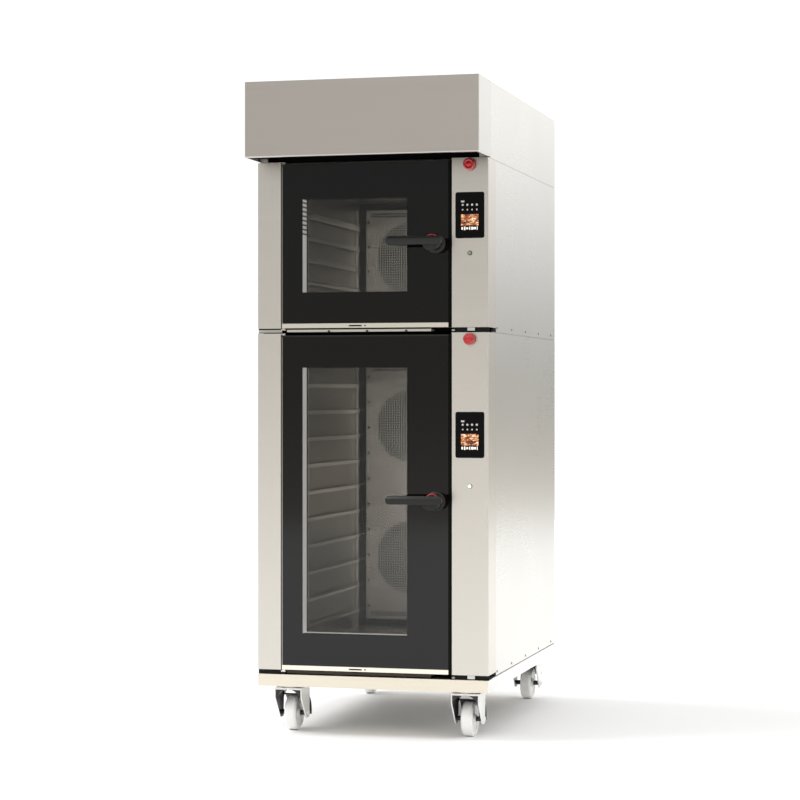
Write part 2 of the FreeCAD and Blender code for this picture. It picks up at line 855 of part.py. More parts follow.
def insulation():
    """Mineral wool slabs around the chambers."""
    slabs = []
    for oven in ovens:
        left = f"({chamber_from} - chamber_gauge)"
        right = f"({chamber_to} + chamber_gauge)"
        under = f"({oven.floor} - chamber_gauge)"
        over = f"({oven.ceiling} + chamber_gauge)"
        depth = ("flange_setback + panel_gauge", chamber_rear)
        slabs.append(box((f"{left} - insulation_gauge", left), depth, (under, over)))
        slabs.append(box((right, f"{right} + insulation_gauge"), depth, (under, over)))
        slabs.append(box((left, right), depth, (f"{under} - insulation_gauge", under)))
        slabs.append(box((left, right), depth, (over, f"{over} + insulation_gauge")))
        back = box((left, right), (chamber_rear, insulation_rear), (under, over))
        holes = [rod("y", (chamber_centre, chamber_rear, height), shaft_hole, "insulation_gauge")
                 for height in oven.fans]
        slabs.append(cut(back, *holes))
    node("insulation", *slabs)


# Fans, motors and heaters --------------------------------------------------


def turned_fan(body, radius, depth, tail):
    """Shaft, back plate and hub of a radial wheel, in a body whose Y axis is the shaft."""
    profile = [
        (tail, "0"),
        (tail, "shaft_radius"),
        ("0", "shaft_radius"),
        ("0", radius),
        ("-fan_gauge", radius),
        ("-fan_gauge", "fan_hub_radius"),
        (f"-({depth})", "fan_hub_radius"),
        (f"-({depth})", "0"),
    ]
    revolve(body, polygon(sketch_on(body, "YZ_Plane", "0"), profile))


def fan_blades(body, radius, depth, eye):
    """Radial blades around the back plate."""
    blade = sketch_on(body, "XZ_Plane", f"-({depth})")
    half = "fan_gauge/2"
    polygon(blade, [(f"-{half}", eye), (half, eye), (half, radius), (f"-{half}", radius)])
    feature = pad(body, blade, f"({depth}) - fan_gauge/2")
    ring = body.newObject("PartDesign::PolarPattern", "blades")
    ring.Originals = [feature]
    ring.Axis = (blade, ["N_Axis"])
    ring.Angle = 360
    ring.Occurrences = int(number("blade_count"))
    body.Tip = ring


def oven_fan(label, height):
    """A fan wheel on its own shaft, which runs back into the motor."""
    back = f"({chamber_rear} - chamber_gauge - fan_wall_gap)"
    wheel = new_body(chamber_centre, back, height)
    turned_fan(wheel, "fan_radius", "fan_depth", f"{insulation_rear} + shaft_seat - {back}")
    fan_blades(wheel, "fan_radius", "fan_depth", "fan_eye_radius")
    node(label, wheel)


def hood_fan():
    """The extraction wheel, below the exhaust collar, with its shaft down into the motor."""
    height = f"({ovens_top} + panel_gauge + hood_motor_height + fan_wall_gap)"
    wheel = new_body()
    place(wheel, "0", hood_fan_y, height, Rotation(Vector(1, 0, 0), -90))
    turned_fan(wheel, "hood_fan_radius", "hood_fan_depth", "fan_wall_gap + shaft_seat")
    fan_blades(wheel, "hood_fan_radius", "hood_fan_depth", "fan_eye_radius")
    node("hood_fan", wheel)


def fan_motors():
    """A motor behind each chamber fan and one under the hood fan, bored for the shafts."""
    motors = []
    bore = "shaft_radius + running_clearance"
    for oven in ovens:
        for height in oven.fans:
            foot = (chamber_centre, insulation_rear, height)
            flange = rod("y", foot, "motor_radius + motor_flange_lip", "motor_flange")
            barrel = rod("y", foot, "motor_radius", "motor_length")
            seat = rod("y", foot, bore, "shaft_seat + overcut")
            motors.append(cut(fuse(flange, barrel), seat))
    floor = f"({ovens_top} + panel_gauge)"
    barrel = rod("z", ("0", hood_fan_y, floor), "hood_motor_radius", "hood_motor_height")
    seat_from = f"{floor} + hood_motor_height - shaft_seat - overcut"
    seat = rod("z", ("0", hood_fan_y, seat_from), bore, "shaft_seat + overcut")
    motors.append(cut(barrel, seat))
    node("fan_motors", *motors)


def heating_elements():
    """A tubular ring around each chamber fan, held by its two terminals."""
    rings = []
    back = f"({chamber_rear} - chamber_gauge)"
    for oven in ovens:
        for height in oven.fans:
            ring = doc.addObject("Part::Torus", "ring")
            ring.setExpression("Radius1", bound("element_ring_radius"))
            ring.setExpression("Radius2", bound("element_radius"))
            place(ring, chamber_centre, f"{back} - element_setback", height, turned["y"])
            terminals = [
                rod("y", (f"{chamber_centre} {sign} element_ring_radius", f"{back} - element_setback", height),
                    "terminal_radius", "element_setback")
                for sign in ("-", "+")
            ]
            rings.append(fuse(ring, *terminals))
    node("heating_elements", *rings)


# Doors ---------------------------------------------------------------------


def door_opening(oven, depth):
    """The window through the whole door."""
    return box((window_from, window_to), depth, oven.window)


def door_frame(oven):
    """A hollow frame around the window, recessed for the glass and stepped at the lock edge."""
    front = "(-glass_proud)"
    across = (door_left, door_right)
    up = (oven.door_from, oven.door_to)
    block = box(across, (front, door_back), up)
    recess = box(
        (f"{door_left} + glass_edge_left", f"{door_right} - glass_edge_right"),
        (front, "glass_gauge - glass_proud"),
        (f"{oven.door_from} + glass_edge_bottom", f"{oven.door_to} - glass_edge_top"),
    )
    step = box((f"{door_right} - door_step", door_right), ("door_step_depth", door_back), up)
    hollow = box(
        (f"{door_left} + door_skin", f"{door_right} - door_step - door_skin"),
        ("glass_gauge - glass_proud + door_skin", f"{door_back} - door_skin"),
        (f"{oven.door_from} + door_skin", f"{oven.door_to} - door_skin"),
    )
    shell = cut(block, recess, step, hollow)
    # Solid corner blocks take the hinge pins.
    blocks = []
    for low, high in ((up[0], f"{up[0]} + glass_edge_bottom"), (f"{up[1]} - glass_edge_bottom", up[1])):
        blocks.append(box((f"{door_left} + door_skin", f"{door_left} + hinge_block"),
                          ("glass_gauge - glass_proud", "hinge_block"), (low, high)))
    bore = "hinge_pin_radius + running_clearance"
    pins = [
        rod("z", (hinge_line, "hinge_setback", up[0]), bore, "hinge_reach_bottom + end_room"),
        rod("z", (hinge_line, "hinge_setback", f"{up[1]} - hinge_reach_top - end_room"), bore,
            "hinge_reach_top + end_room"),
    ]
    spindle = rod("y", (handle_line, front, oven.handle), "spindle_hole", "door_skin + glass_gauge")
    slot = box(
        (f"{keeper_line} - keeper_width/2 - keeper_slot_clearance",
         f"{keeper_line} + keeper_width/2 + keeper_slot_clearance"),
        (f"{door_back} - door_skin", door_back),
        (f"{oven.handle} - keeper_height/2 - keeper_slot_clearance",
         f"{oven.handle} + keeper_height/2 + keeper_slot_clearance"),
    )
    window = door_opening(oven, (front, door_back))
    node(f"{oven.name}_door_frame", cut(fuse(shell, *blocks), window, spindle, slot, *pins))


def door_outer_glass(oven):
    """The full front pane, drilled for the handle spindle."""
    margin = "seam_gap"
    front = "(-glass_proud)"
    pane = box(
        (f"{door_left} + glass_edge_left + {margin}", f"{door_right} - glass_edge_right - {margin}"),
        (front, "glass_gauge - glass_proud"),
        (f"{oven.door_from} + glass_edge_bottom + {margin}", f"{oven.door_to} - glass_edge_top - {margin}"),
    )
    hole = rod("y", (handle_line, front, oven.handle), "spindle_hole", "glass_gauge")
    node(f"{oven.name}_door_outer_glass", cut(pane, hole))


def door_inner_glass(oven):
    """The inner pane, seated on the back skin."""
    rear = f"({door_back} - door_skin)"
    node(f"{oven.name}_door_inner_glass", box(
        (f"{window_from} - glass_lap", f"{window_to} + glass_lap"),
        (f"{rear} - glass_gauge", rear),
        (f"{oven.window[0]} - glass_lap", f"{oven.window[1]} + glass_lap"),
    ))


def door_lamp(oven):
    """A light bar down the left edge of the window, between the panes."""
    rear = f"({door_back} - door_skin - glass_gauge)"
    node(f"{oven.name}_door_lamp", box(
        (window_from, f"{window_from} + lamp_width"),
        (f"{rear} - lamp_depth", rear),
        oven.window,
    ))


def handle_rosette(oven):
    """A round escutcheon, the neck that carries the lever, and the coloured collar at its front."""
    face = "(-glass_proud)"
    disc = rod("y", (handle_line, f"{face} - rosette_depth", oven.handle), "rosette_radius", "rosette_depth")
    neck_front = "(-lever_stand - glass_proud)"
    neck = rod("y", (handle_line, neck_front, oven.handle), "neck_radius", f"{face} - {neck_front}")
    bore = rod("y", (handle_line, neck_front, oven.handle), "spindle_radius + running_clearance",
               f"{face} - {neck_front}")
    indicator = rod("y", (handle_line, neck_front, oven.handle), "indicator_radius", "indicator_depth")
    node(f"{oven.name}_handle_rosette", cut(fuse(disc, neck, indicator), bore))


def door_handle(oven):
    """The lever and its half-round boss, the spindle through the door, and the latch arm on its end."""
    back = "(-lever_stand - glass_proud - seam_gap)"
    half = "lever_height/2"
    lever = rounded_plate(
        (f"{handle_line} - lever_reach", f"{handle_line} + lever_tail"),
        (f"{back} - lever_depth", back),
        (f"{oven.handle} + lever_offset - {half}", f"{oven.handle} + lever_offset + {half}"),
        "lever_corner",
    )
    front = f"({back} - lever_depth + boss_setback)"
    disc = rod("y", (handle_line, front, oven.handle), "boss_radius", "lever_depth - boss_setback")
    upper_half = box(
        (f"{handle_line} - boss_radius - overcut", f"{handle_line} + boss_radius + overcut"),
        (f"{front} - overcut", f"{back} + overcut"),
        (oven.handle, f"{oven.handle} + boss_radius + overcut"),
    )
    boss = cut(disc, upper_half)
    arm_rear = f"({door_back} - door_skin - latch_arm_inset)"
    arm_front = f"({arm_rear} - latch_arm_gauge)"
    spindle = rod("y", (handle_line, back, oven.handle), "spindle_radius", f"{arm_rear} - {back}")
    arm = box(
        (handle_line, f"{handle_line} + latch_arm_reach"),
        (arm_front, arm_rear),
        (f"{oven.handle} - latch_arm_height/2", f"{oven.handle} + latch_arm_height/2"),
    )
    node(f"{oven.name}_door_handle", fuse(lever, boss, spindle, arm))


def door_hinges_and_keepers():
    """Hinge plates with their pins, and the latch keepers, all fixed to the flanges."""
    pieces = []
    for oven in ovens:
        across = (f"{hinge_line} - hinge_plate_half", f"{hinge_line} + hinge_plate_half")
        depth = ("hinge_setback - hinge_plate_nose", "flange_setback")
        collar = "(hinge_gap_bottom - seam_gap)"
        low = f"({oven.door_from} - hinge_gap_bottom)"
        plate = box(across, depth, (f"{low} - hinge_plate", low))
        washer = rod("z", (hinge_line, "hinge_setback", low), "hinge_collar_radius", collar)
        pin = rod("z", (hinge_line, "hinge_setback", low), "hinge_pin_radius",
                  "hinge_gap_bottom + hinge_reach_bottom")
        pieces.append(fuse(plate, washer, pin))
        high = f"({oven.door_to} + hinge_gap_top)"
        plate = box(across, depth, (high, f"{high} + hinge_plate"))
        pin = rod("z", (hinge_line, "hinge_setback", f"{oven.door_to} - hinge_reach_top"), "hinge_pin_radius",
                  "hinge_gap_top + hinge_reach_top")
        pieces.append(fuse(plate, pin))
        pieces.append(box(
            (f"{keeper_line} - keeper_width/2", f"{keeper_line} + keeper_width/2"),
            (f"{door_back} - door_skin - keeper_nose", "flange_setback"),
            (f"{oven.handle} - keeper_height/2", f"{oven.handle} + keeper_height/2"),
        ))
    node("door_hinges_and_keepers", *pieces)


# Controls ------------------------------------------------------------------


def touch_screens():
    """A black glass plate over the fascia and the module behind it."""
    screens = []
    for oven in ovens:
        across, up = screen_limits(oven)
        plate = rounded_plate(across, ("-screen_proud", "0"), up, "screen_corner")
        across, up = screen_limits(oven, "(screen_lip + seam_gap)")
        module = box(across, ("0", "screen_depth"), up)
        screens.append(fuse(plate, module))
    node("touch_screens", *screens)


def barrel(height, kind):
    """The fixed tube of a push button: bezel in front, switch block behind."""
    foot = (fascia_centre, f"-{kind}_bezel_depth", height)
    bezel = rod("y", foot, f"{kind}_bezel_radius", f"{kind}_bezel_depth")
    tube = rod("y", foot, f"{kind}_barrel_radius", f"{kind}_bezel_depth + switch_depth/2")
    half = "switch_size/2"
    block = box(
        (f"{fascia_centre} - {half}", f"{fascia_centre} + {half}"),
        ("switch_depth/2", "switch_depth"),
        (f"{height} - {half}", f"{height} + {half}"),
    )
    bore = rod("y", foot, f"{kind}_stem_radius + running_clearance",
               f"{kind}_bezel_depth + {button_reach} + {kind}_travel + overcut")
    return cut(fuse(bezel, tube, block), bore)


def control_electronics():
    """Switch blocks behind the fascias and a control board for each oven."""
    pieces = []
    for oven in ovens:
        pieces.append(barrel(oven.stop, "stop"))
        pieces.append(barrel(oven.start, "start"))
        across, up = screen_limits(oven, "(screen_lip + board_margin)")
        pieces.append(box(across, ("screen_depth", "screen_depth + board_gauge"), up))
    node("control_electronics", *pieces)


def stop_button(oven):
    """A mushroom head on its stem."""
    button = new_body(fascia_centre, "0", oven.stop)
    seat = "(-stop_bezel_depth - stop_travel - seam_gap)"
    profile = [
        (button_reach, "0"),
        (button_reach, "stop_stem_radius"),
        (seat, "stop_stem_radius"),
        (seat, "stop_cap_radius"),
        (f"{seat} - stop_cap_rim", "stop_cap_radius"),
        (f"{seat} - stop_cap_depth", "stop_face_radius"),
        (f"{seat} - stop_cap_depth", "0"),
    ]
    revolve(button, polygon(sketch_on(button, "YZ_Plane", "0"), profile))
    node(f"{oven.name}_stop_button", button)


def start_button(oven):
    """A small round push button."""
    button = new_body(fascia_centre, "0", oven.start)
    seat = "(-start_bezel_depth - start_travel - seam_gap)"
    profile = [
        (button_reach, "0"),
        (button_reach, "start_stem_radius"),
        (seat, "start_stem_radius"),
        (seat, "start_cap_radius"),
        (f"{seat} - start_cap_depth", "start_cap_radius"),
        (f"{seat} - start_cap_depth", "0"),
    ]
    revolve(button, polygon(sketch_on(button, "YZ_Plane", "0"), profile))
    node(f"{oven.name}_start_button", button)


# Trim and services ---------------------------------------------------------


def drip_gutters():
    """A gutter under each door, fixed to the flange, and a strip under each stile and fascia."""
    pieces = []
    for oven in ovens:
        pieces.append(box(
            (f"{door_left} + gutter_left", f"{door_right} - gutter_right"),
            ("gutter_nose", "flange_setback"),
            (f"{oven.base} + gutter_rise", f"{oven.base} + gutter_rise + gutter_height"),
        ))
        depth = ("kick_strip_setback", "kick_strip_setback + panel_gauge")
        height = (f"{oven.base} + seam_gap", f"{oven.base} + shadow_gap - seam_gap")
        for across in ((left_side, "stile_width - body_width/2"), ("body_width/2 - fascia_width", right_side)):
            pieces.append(box(across, depth, height))
    node("drip_gutters", *pieces)


def panel_rivets():
    """Domed rivets along the foot of each side panel."""
    rivets = []
    count = int(number("rivet_count"))
    for oven in ovens:
        for start in ("-body_width/2 - rivet_head", "body_width/2"):
            for index in range(count):
                y = f"(rivet_inset + {index}*(body_depth - rivet_inset - rivet_rear_inset)/(rivet_count - 1))"
                rivets.append(rod("x", (start, y, f"{oven.base} + panel_reveal + rivet_rise"),
                                  "rivet_radius", "rivet_head"))
    node("panel_rivets", *rivets)


def service_fittings():
    """Cable gland, water inlet and drain stub low on each rear wall."""
    pieces = []
    for oven in ovens:
        fittings = {"body_width/4": "gland_radius", "0": "pipe_radius", "-body_width/4": "gland_radius"}
        for x, radius in fittings.items():
            start = (x, "body_depth - panel_gauge - service_length", f"{oven.base} + service_rise")
            stub = rod("y", start, radius, "service_length")
            bore = rod("y", start, f"{radius} - pipe_wall", "service_length")
            pieces.append(cut(stub, bore))
    node("service_fittings", *pieces)


# Hood ----------------------------------------------------------------------


def bent_shell(across, depth, height, radius):
    """A block whose front uprights and lower edges are rounded."""
    corners = [(across[0], depth[0]), (across[1], depth[0]), (across[1], depth[1]), (across[0], depth[1])]
    block = extrusion("XY_Plane", corners, *height)
    uprights = round_edges(block, block.Tip, "Z", radius, corners[0:2])
    doc.recompute()
    low, rear = number(height[0]), number(depth[1])
    lowest = [f"Edge{index}" for index, edge in enumerate(uprights.Shape.Edges, start=1)
              if edge.BoundBox.ZMax < low + 0.01 and edge.BoundBox.YMin < rear - 0.01]
    lower = block.newObject("PartDesign::Fillet", "rounding")
    lower.Base = (uprights, lowest)
    lower.setExpression("Radius", bound(radius))
    return block


def hood_fascia():
    """The forward shell of the hood, bent inwards at its foot and open behind."""
    bottom = f"({ovens_top} + hood_lift)"
    outside = bent_shell((left_side, right_side), ("-hood_overhang", hood_split), (bottom, hood_top),
                         "hood_edge_radius")
    inside = bent_shell(inner_width, ("panel_gauge - hood_overhang", f"{hood_split} + overcut"),
                        (f"{bottom} + panel_gauge", f"{hood_top} - panel_gauge"),
                        "hood_edge_radius - panel_gauge")
    mouth = box(("hood_return - body_width/2", "body_width/2 - hood_return"),
                ("hood_return - hood_overhang", f"{hood_split} + overcut"),
                (f"{bottom} - overcut", f"{bottom} + panel_gauge + overcut"))
    node("hood_fascia", cut(outside, inside, mouth))


def hood_casing():
    """The rear shell of the hood, open towards the fascia, with the exhaust hole."""
    block = box((left_side, right_side), ("hood_seam", "body_depth"), (ovens_top, hood_top))
    inside = box(inner_width, ("hood_seam", "body_depth - panel_gauge"),
                 (f"{ovens_top} + panel_gauge", f"{hood_top} - panel_gauge"))
    roof = ("0", hood_fan_y, f"{hood_top} - panel_gauge")
    outlet = rod("z", roof, "collar_radius - panel_gauge", "panel_gauge")
    node("hood_casing", cut(block, inside, outlet))


def hood_filter():
    """A grease filter that closes the front of the rear shell."""
    node("hood_filter", box(
        (f"filter_inset - body_width/2", "body_width/2 - filter_inset"),
        ("hood_seam + filter_inset", "hood_seam + filter_inset + filter_depth"),
        (f"{ovens_top} + panel_gauge", f"{hood_top} - panel_gauge"),
    ))


def exhaust_collar():
    """A round spigot on the hood's roof, for the duct."""
    foot = ("0", hood_fan_y, hood_top)
    tube = rod("z", foot, "collar_radius", "collar_height")
    flange = rod("z", foot, "collar_radius + collar_flange", "panel_gauge")
    bore = rod("z", foot, "collar_radius - panel_gauge", "collar_height")
    node("exhaust_collar", cut(fuse(tube, flange), bore))


base_frame()
castor_plates()
castor_bolts()
for name, (x, y) in castor_places.items():
    castor_fork(f"castor_fork_{name}", x, y)
    castor_wheel(f"castor_wheel_{name}", x, y)
for oven in ovens:
    casing(oven)
    side_panels(oven)
    left_stile(oven)
    control_fascia(oven)
    chamber(oven)
    air_baffle(oven)
    shelf_racks(oven)
    door_frame(oven)
    door_outer_glass(oven)
    door_inner_glass(oven)
    door_lamp(oven)
    handle_rosette(oven)
    door_handle(oven)
    stop_button(oven)
    start_button(oven)
door_gaskets()
insulation()
fan_motors()
heating_elements()
door_hinges_and_keepers()
touch_screens()
control_electronics()
drip_gutters()
panel_rivets()
service_fittings()
oven_fan("upper_fan", upper.fans[0])
oven_fan("lower_fan_top", lower.fans[0])
oven_fan("lower_fan_bottom", lower.fans[1])
hood_fascia()
hood_casing()
hood_filter()
hood_fan()
exhaust_collar()

doc.recompute()
failed = [thing.Label for thing in doc.Objects if {"Invalid", "Error"} & set(thing.State)]
if failed:
    raise RuntimeError(f"failed features: {failed}")
for part in nodes:
    if part.Shape.isNull() or not part.Shape.isValid() or not part.Shape.Solids:
        raise RuntimeError(f"{part.Label} has no valid solid")

os.makedirs("parts", exist_ok=True)
for part in nodes:
    part.Shape.exportStep(f"parts/{part.Label}.step")
print(len(nodes), "nodes")
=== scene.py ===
import bmesh
import bpy
from math import cos, pi, radians, sin
from mathutils import Matrix, Vector


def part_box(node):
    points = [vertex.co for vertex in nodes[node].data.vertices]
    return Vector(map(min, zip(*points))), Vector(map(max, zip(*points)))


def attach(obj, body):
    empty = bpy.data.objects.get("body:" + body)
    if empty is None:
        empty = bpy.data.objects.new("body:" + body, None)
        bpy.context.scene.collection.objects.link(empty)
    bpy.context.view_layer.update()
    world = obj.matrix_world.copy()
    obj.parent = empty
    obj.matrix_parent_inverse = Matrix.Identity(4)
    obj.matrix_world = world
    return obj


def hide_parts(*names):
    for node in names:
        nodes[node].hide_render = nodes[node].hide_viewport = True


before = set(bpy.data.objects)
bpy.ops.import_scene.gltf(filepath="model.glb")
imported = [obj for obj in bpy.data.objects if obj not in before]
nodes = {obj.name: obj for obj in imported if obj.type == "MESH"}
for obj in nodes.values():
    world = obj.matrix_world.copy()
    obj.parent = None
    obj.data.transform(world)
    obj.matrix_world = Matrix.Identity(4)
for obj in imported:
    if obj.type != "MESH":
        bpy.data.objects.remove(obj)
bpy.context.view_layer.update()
root = "oven_stack"
print("frame loaded,", len(nodes), "nodes")


def low(node):
    return Vector(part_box(node)[0])


def high(node):
    return Vector(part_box(node)[1])


def middle(node):
    return (low(node) + high(node)) / 2


# shader wiring

class Flow:  # a number on its way between two nodes

    def __init__(self, paint, socket):
        self.paint = paint
        self.socket = socket

    def math(self, operation, first, second, clamp=False):
        settings = {"operation": operation, "use_clamp": clamp}
        return self.paint.add("Math", settings, {0: first, 1: second})

    def __add__(self, other):
        return self.math("ADD", self, other)

    def __radd__(self, other):
        return self.math("ADD", other, self)

    def __sub__(self, other):
        return self.math("SUBTRACT", self, other)

    def __rsub__(self, other):
        return self.math("SUBTRACT", other, self)

    def __mul__(self, other):
        return self.math("MULTIPLY", self, other)

    def __rmul__(self, other):
        return self.math("MULTIPLY", other, self)

    def __gt__(self, other):
        return self.math("GREATER_THAN", self, other)

    def __lt__(self, other):
        return self.math("LESS_THAN", self, other)

    def size(self):  # without its sign
        return self.math("ABSOLUTE", self, 0.0)

    def either(self, other):
        return self.math("MAXIMUM", self, other)

    def within(self, start, end):
        return (self > start) * (self < end)

    def rising(self, start, end):  # 0 at start, 1 at end, held outside
        return self.math("MULTIPLY", self - start, 1 / (end - start), True)


class Paint:  # one material, or the world, and its nodes

    def __init__(self, name, blocks=bpy.data.materials):
        self.block = blocks.new(name)
        self.block.use_nodes = True
        self.tree = self.block.node_tree
        self.tree.nodes.clear()

    def add(self, kind, settings=None, sockets=None, out=0):
        item = self.tree.nodes.new("ShaderNode" + kind)
        for key, value in (settings or {}).items():
            if key == "stops":
                while len(item.color_ramp.elements) < len(value):
                    item.color_ramp.elements.new(0.5)
                for element, (position, colour) in zip(item.color_ramp.elements, value):
                    element.position = position
                    element.color = colour
            else:
                setattr(item, key, value)
        for key, value in (sockets or {}).items():
            if isinstance(value, Flow):
                self.tree.links.new(value.socket, item.inputs[key])
            else:
                item.inputs[key].default_value = value
        return Flow(self, item.outputs[out]) if item.outputs else None

    def place(self, scale=(1, 1, 1), turn=(0, 0, 0)):
        here = self.add("TexCoord", out="Object")
        return self.add("Mapping", {}, {"Vector": here, "Scale": scale, "Rotation": turn})

    def axes(self):
        here = self.add("TexCoord", out="Object")
        return [self.add("SeparateXYZ", {}, {0: here}, out) for out in range(3)]

    def noise(self, scale, detail=3, place=None, roughness=0.5):
        sockets = {"Vector": place or self.place(), "Scale": scale, "Detail": detail, "Roughness": roughness}
        return self.add("TexNoise", {}, sockets)

    def blend(self, factor, first, second, how="MIX"):
        settings = {"data_type": "RGBA", "blend_type": how}
        return self.add("Mix", settings, {0: factor, 6: first, 7: second}, 2)

    def bump(self, height, strength, distance=0.001):
        return self.add("Bump", {}, {"Height": height, "Strength": strength, "Distance": distance})

    def finish(self, **sockets):
        names = {key.replace("_", " "): value for key, value in sockets.items()}
        surface = self.add("BsdfPrincipled", {}, names)
        return self.close(surface)

    def close(self, surface):
        self.add("OutputMaterial", {}, {"Surface": surface})
        return self.block


def shade(colour, share):
    return tuple(part * share for part in colour[:3]) + (1,)


def rgb(red, green, blue):
    def straight(part):
        part = part / 255
        return part / 12.92 if part < 0.04045 else ((part + 0.055) / 1.055) ** 2.4
    return straight(red), straight(green), straight(blue), 1


# materials

steelGrain = {"along": 1.1, "across": 420, "bump": 0.02, "spread": 0.08, "tone": 0.025}


def steel(name, colour, roughness, upright=False, grain=steelGrain, metallic=1.0, patches=()):
    # patches are pairs of a mask from x, y and z, and the colour that shows there
    paint = Paint(name)
    fine = (grain["across"], grain["across"], grain["along"]) if upright else (
        grain["along"], grain["along"], grain["across"])
    streaks = paint.noise(1.0, 4, paint.place(fine), 0.6)
    clouds = paint.noise(2.2, 3)
    tone = paint.blend(streaks, shade(colour, 1 - grain["tone"]), shade(colour, 1 + grain["tone"]))
    tone = paint.blend(clouds * 0.25, tone, shade(colour, 0.9))
    for mask, patchColour in patches:
        tone = paint.blend(mask(*paint.axes()), tone, patchColour)
    rough = roughness + (streaks - 0.5) * grain["spread"] + (clouds - 0.5) * 0.05
    normal = paint.bump(streaks, grain["bump"], 0.0004)
    return paint.finish(Base_Color=tone, Metallic=metallic, Roughness=rough, Normal=normal)


def moulded(name, colour, roughness, grainScale=900, bumpStrength=0.06, coat=0.0, shine=0.5):
    paint = Paint(name)
    grain = paint.noise(grainScale, 2)
    clouds = paint.noise(9, 3)
    tone = paint.blend(clouds, shade(colour, 0.9), shade(colour, 1.1))
    rough = roughness + (clouds - 0.5) * 0.12 + (grain - 0.5) * 0.05
    normal = paint.bump(grain, bumpStrength, 0.0003)
    return paint.finish(Base_Color=tone, Roughness=rough, Normal=normal, Coat_Weight=coat, Coat_Roughness=0.08,
                        Specular_IOR_Level=shine)


def enamel(name, colour, roughness, patches=()):
    paint = Paint(name)
    peel = paint.noise(260, 3)
    clouds = paint.noise(3, 3)
    tone = paint.blend(clouds, shade(colour, 0.95), shade(colour, 1.03))
    for mask, patchColour in patches:
        tone = paint.blend(mask(*paint.axes()), tone, patchColour)
    rough = roughness + (peel - 0.5) * 0.08
    normal = paint.bump(peel, 0.05, 0.0004)
    return paint.finish(Base_Color=tone, Roughness=rough, Normal=normal, Coat_Weight=0.3, Coat_Roughness=0.12)


doorGlass = {"border": (0.0018, 0.0018, 0.0015, 1),
             "tint": (0.02, 0.02, 0.019, 1), "windowAlpha": 0.5, "edge": 0.0006}


def printedGlass(name, window):
    # the black print leaves the window clear
    paint = Paint(name)
    x, y, z = paint.axes()
    soft = doorGlass["edge"]
    (left, right), (bottom, top) = window
    inside = x.rising(left, left + soft) * (right - x).rising(0, soft)
    inside = inside * z.rising(bottom, bottom + soft) * (top - z).rising(0, soft)
    smears = paint.noise(4, 4, paint.place((1, 1, 0.4)))
    alpha = 1 - inside * (1 - doorGlass["windowAlpha"])
    tone = paint.blend(inside, doorGlass["border"], doorGlass["tint"])
    rough = 0.05 + smears * 0.05
    return paint.finish(Base_Color=tone, Roughness=rough, Alpha=alpha, IOR=1.5, Specular_IOR_Level=0.4)


def clearGlass(name, alpha, tint):
    paint = Paint(name)
    smears = paint.noise(5, 4)
    return paint.finish(Base_Color=tint, Roughness=0.04 + smears * 0.05, Alpha=alpha + (smears - 0.5) * 0.03)


def glowing(name, colour, strength):
    paint = Paint(name)
    settings = {"wave_type": "BANDS", "bands_direction": "Z"}
    ribs = paint.add("TexWave", settings, {"Vector": paint.place(), "Scale": 60.0})
    glow = paint.blend(ribs, shade(colour, 0.85), colour)
    return paint.finish(Base_Color=colour, Roughness=0.5, Emission_Color=glow, Emission_Strength=strength)


def wool(name):
    paint = Paint(name)
    fibres = paint.noise(120, 6, paint.place((1, 1, 3)), 0.7)
    tone = paint.blend(fibres, (0.52, 0.42, 0.2, 1), (0.8, 0.72, 0.5, 1))
    return paint.finish(Base_Color=tone, Roughness=0.95, Normal=paint.bump(fibres, 0.6, 0.004))


def circuitBoard(name):
    paint = Paint(name)
    cells = paint.add("TexVoronoi", {"feature": "DISTANCE_TO_EDGE"}, {"Vector": paint.place(), "Scale": 120.0})
    tracks = cells < 0.05
    tone = paint.blend(tracks, (0.01, 0.06, 0.03, 1), (0.25, 0.2, 0.06, 1))
    return paint.finish(Base_Color=tone, Roughness=0.4, Normal=paint.bump(cells, 0.3, 0.001))


fineGrain = {"along": 4, "across": 700, "bump": 0.03, "spread": 0.06, "tone": 0.02}
sideWhite = rgb(224, 222, 216)
# black: painted shade inside the hood, in the shadow gaps, behind the baffles, in painted slots and holes and
# between the fork legs; also the dark gutter screw heads
shadeAndScrewBlack = rgb(5, 5, 5)
# the warm tint of the front steel is a painted reflection of warm light from low down
frontSteel = steel("frontSteel", rgb(221, 216, 207), 0.3)
sideGrain = {"along": 0.6, "across": 380, "bump": 0.0012, "spread": 0.025, "tone": 0.01}
sideSteel = steel("sideSteel", sideWhite, 0.28, False, sideGrain)
hoodLow, hoodHigh = low("hood_fascia"), high("hood_casing")


# painted shade: the inside of the hood in black
def hoodHollow(x, y, z):
    walls = (x.size() < hoodHigh.x - 0.004) * (y > hoodLow.y + 0.0055)
    return walls * (z < hoodHigh.z - 0.0008) * (y < hoodHigh.y - 0.0008)


def hoodSides(x, y, z):
    return x.size() > hoodHigh.x - 0.002


# the hood front is darker than its sides as painted shade
hoodSteel = steel("hoodSteel", rgb(196, 190, 183), 0.34,
                  patches=[(hoodSides, sideWhite), (hoodHollow, shadeAndScrewBlack)])
hoodCasingSteel = steel("hoodCasingSteel", sideWhite, 0.28, False, sideGrain,
                        patches=[(hoodHollow, shadeAndScrewBlack)])
# near black: painted shade on the hood filter under the hood; also the dark baffle screw heads
shadeAndScrewDark = moulded("shadeAndScrewDark", rgb(12, 12, 12), 0.7, shine=0.1)
baseEnd = high("base_frame").x


def baseSides(x, y, z):
    return x.size() > baseEnd - 0.002


# painted light on one steel: a cream front and whiter sides
baseSteel = steel("baseSteel", rgb(240, 231, 214), 0.36, patches=[(baseSides, rgb(244, 244, 241))])
edgeSteel = steel("edgeSteel", rgb(225, 222, 214), 0.22, True, fineGrain)
# painted shade above and beside the glass, a painted highlight below it, and black painted shade for a slot and
# a screw hole
doorStrips = {"top": rgb(62, 63, 62), "side": rgb(26, 26, 25), "bottom": rgb(246, 240, 226),
              "slot": (-0.083, -0.036), "slotRise": (0.005, 0.010), "hole": (-0.026, -0.021)}


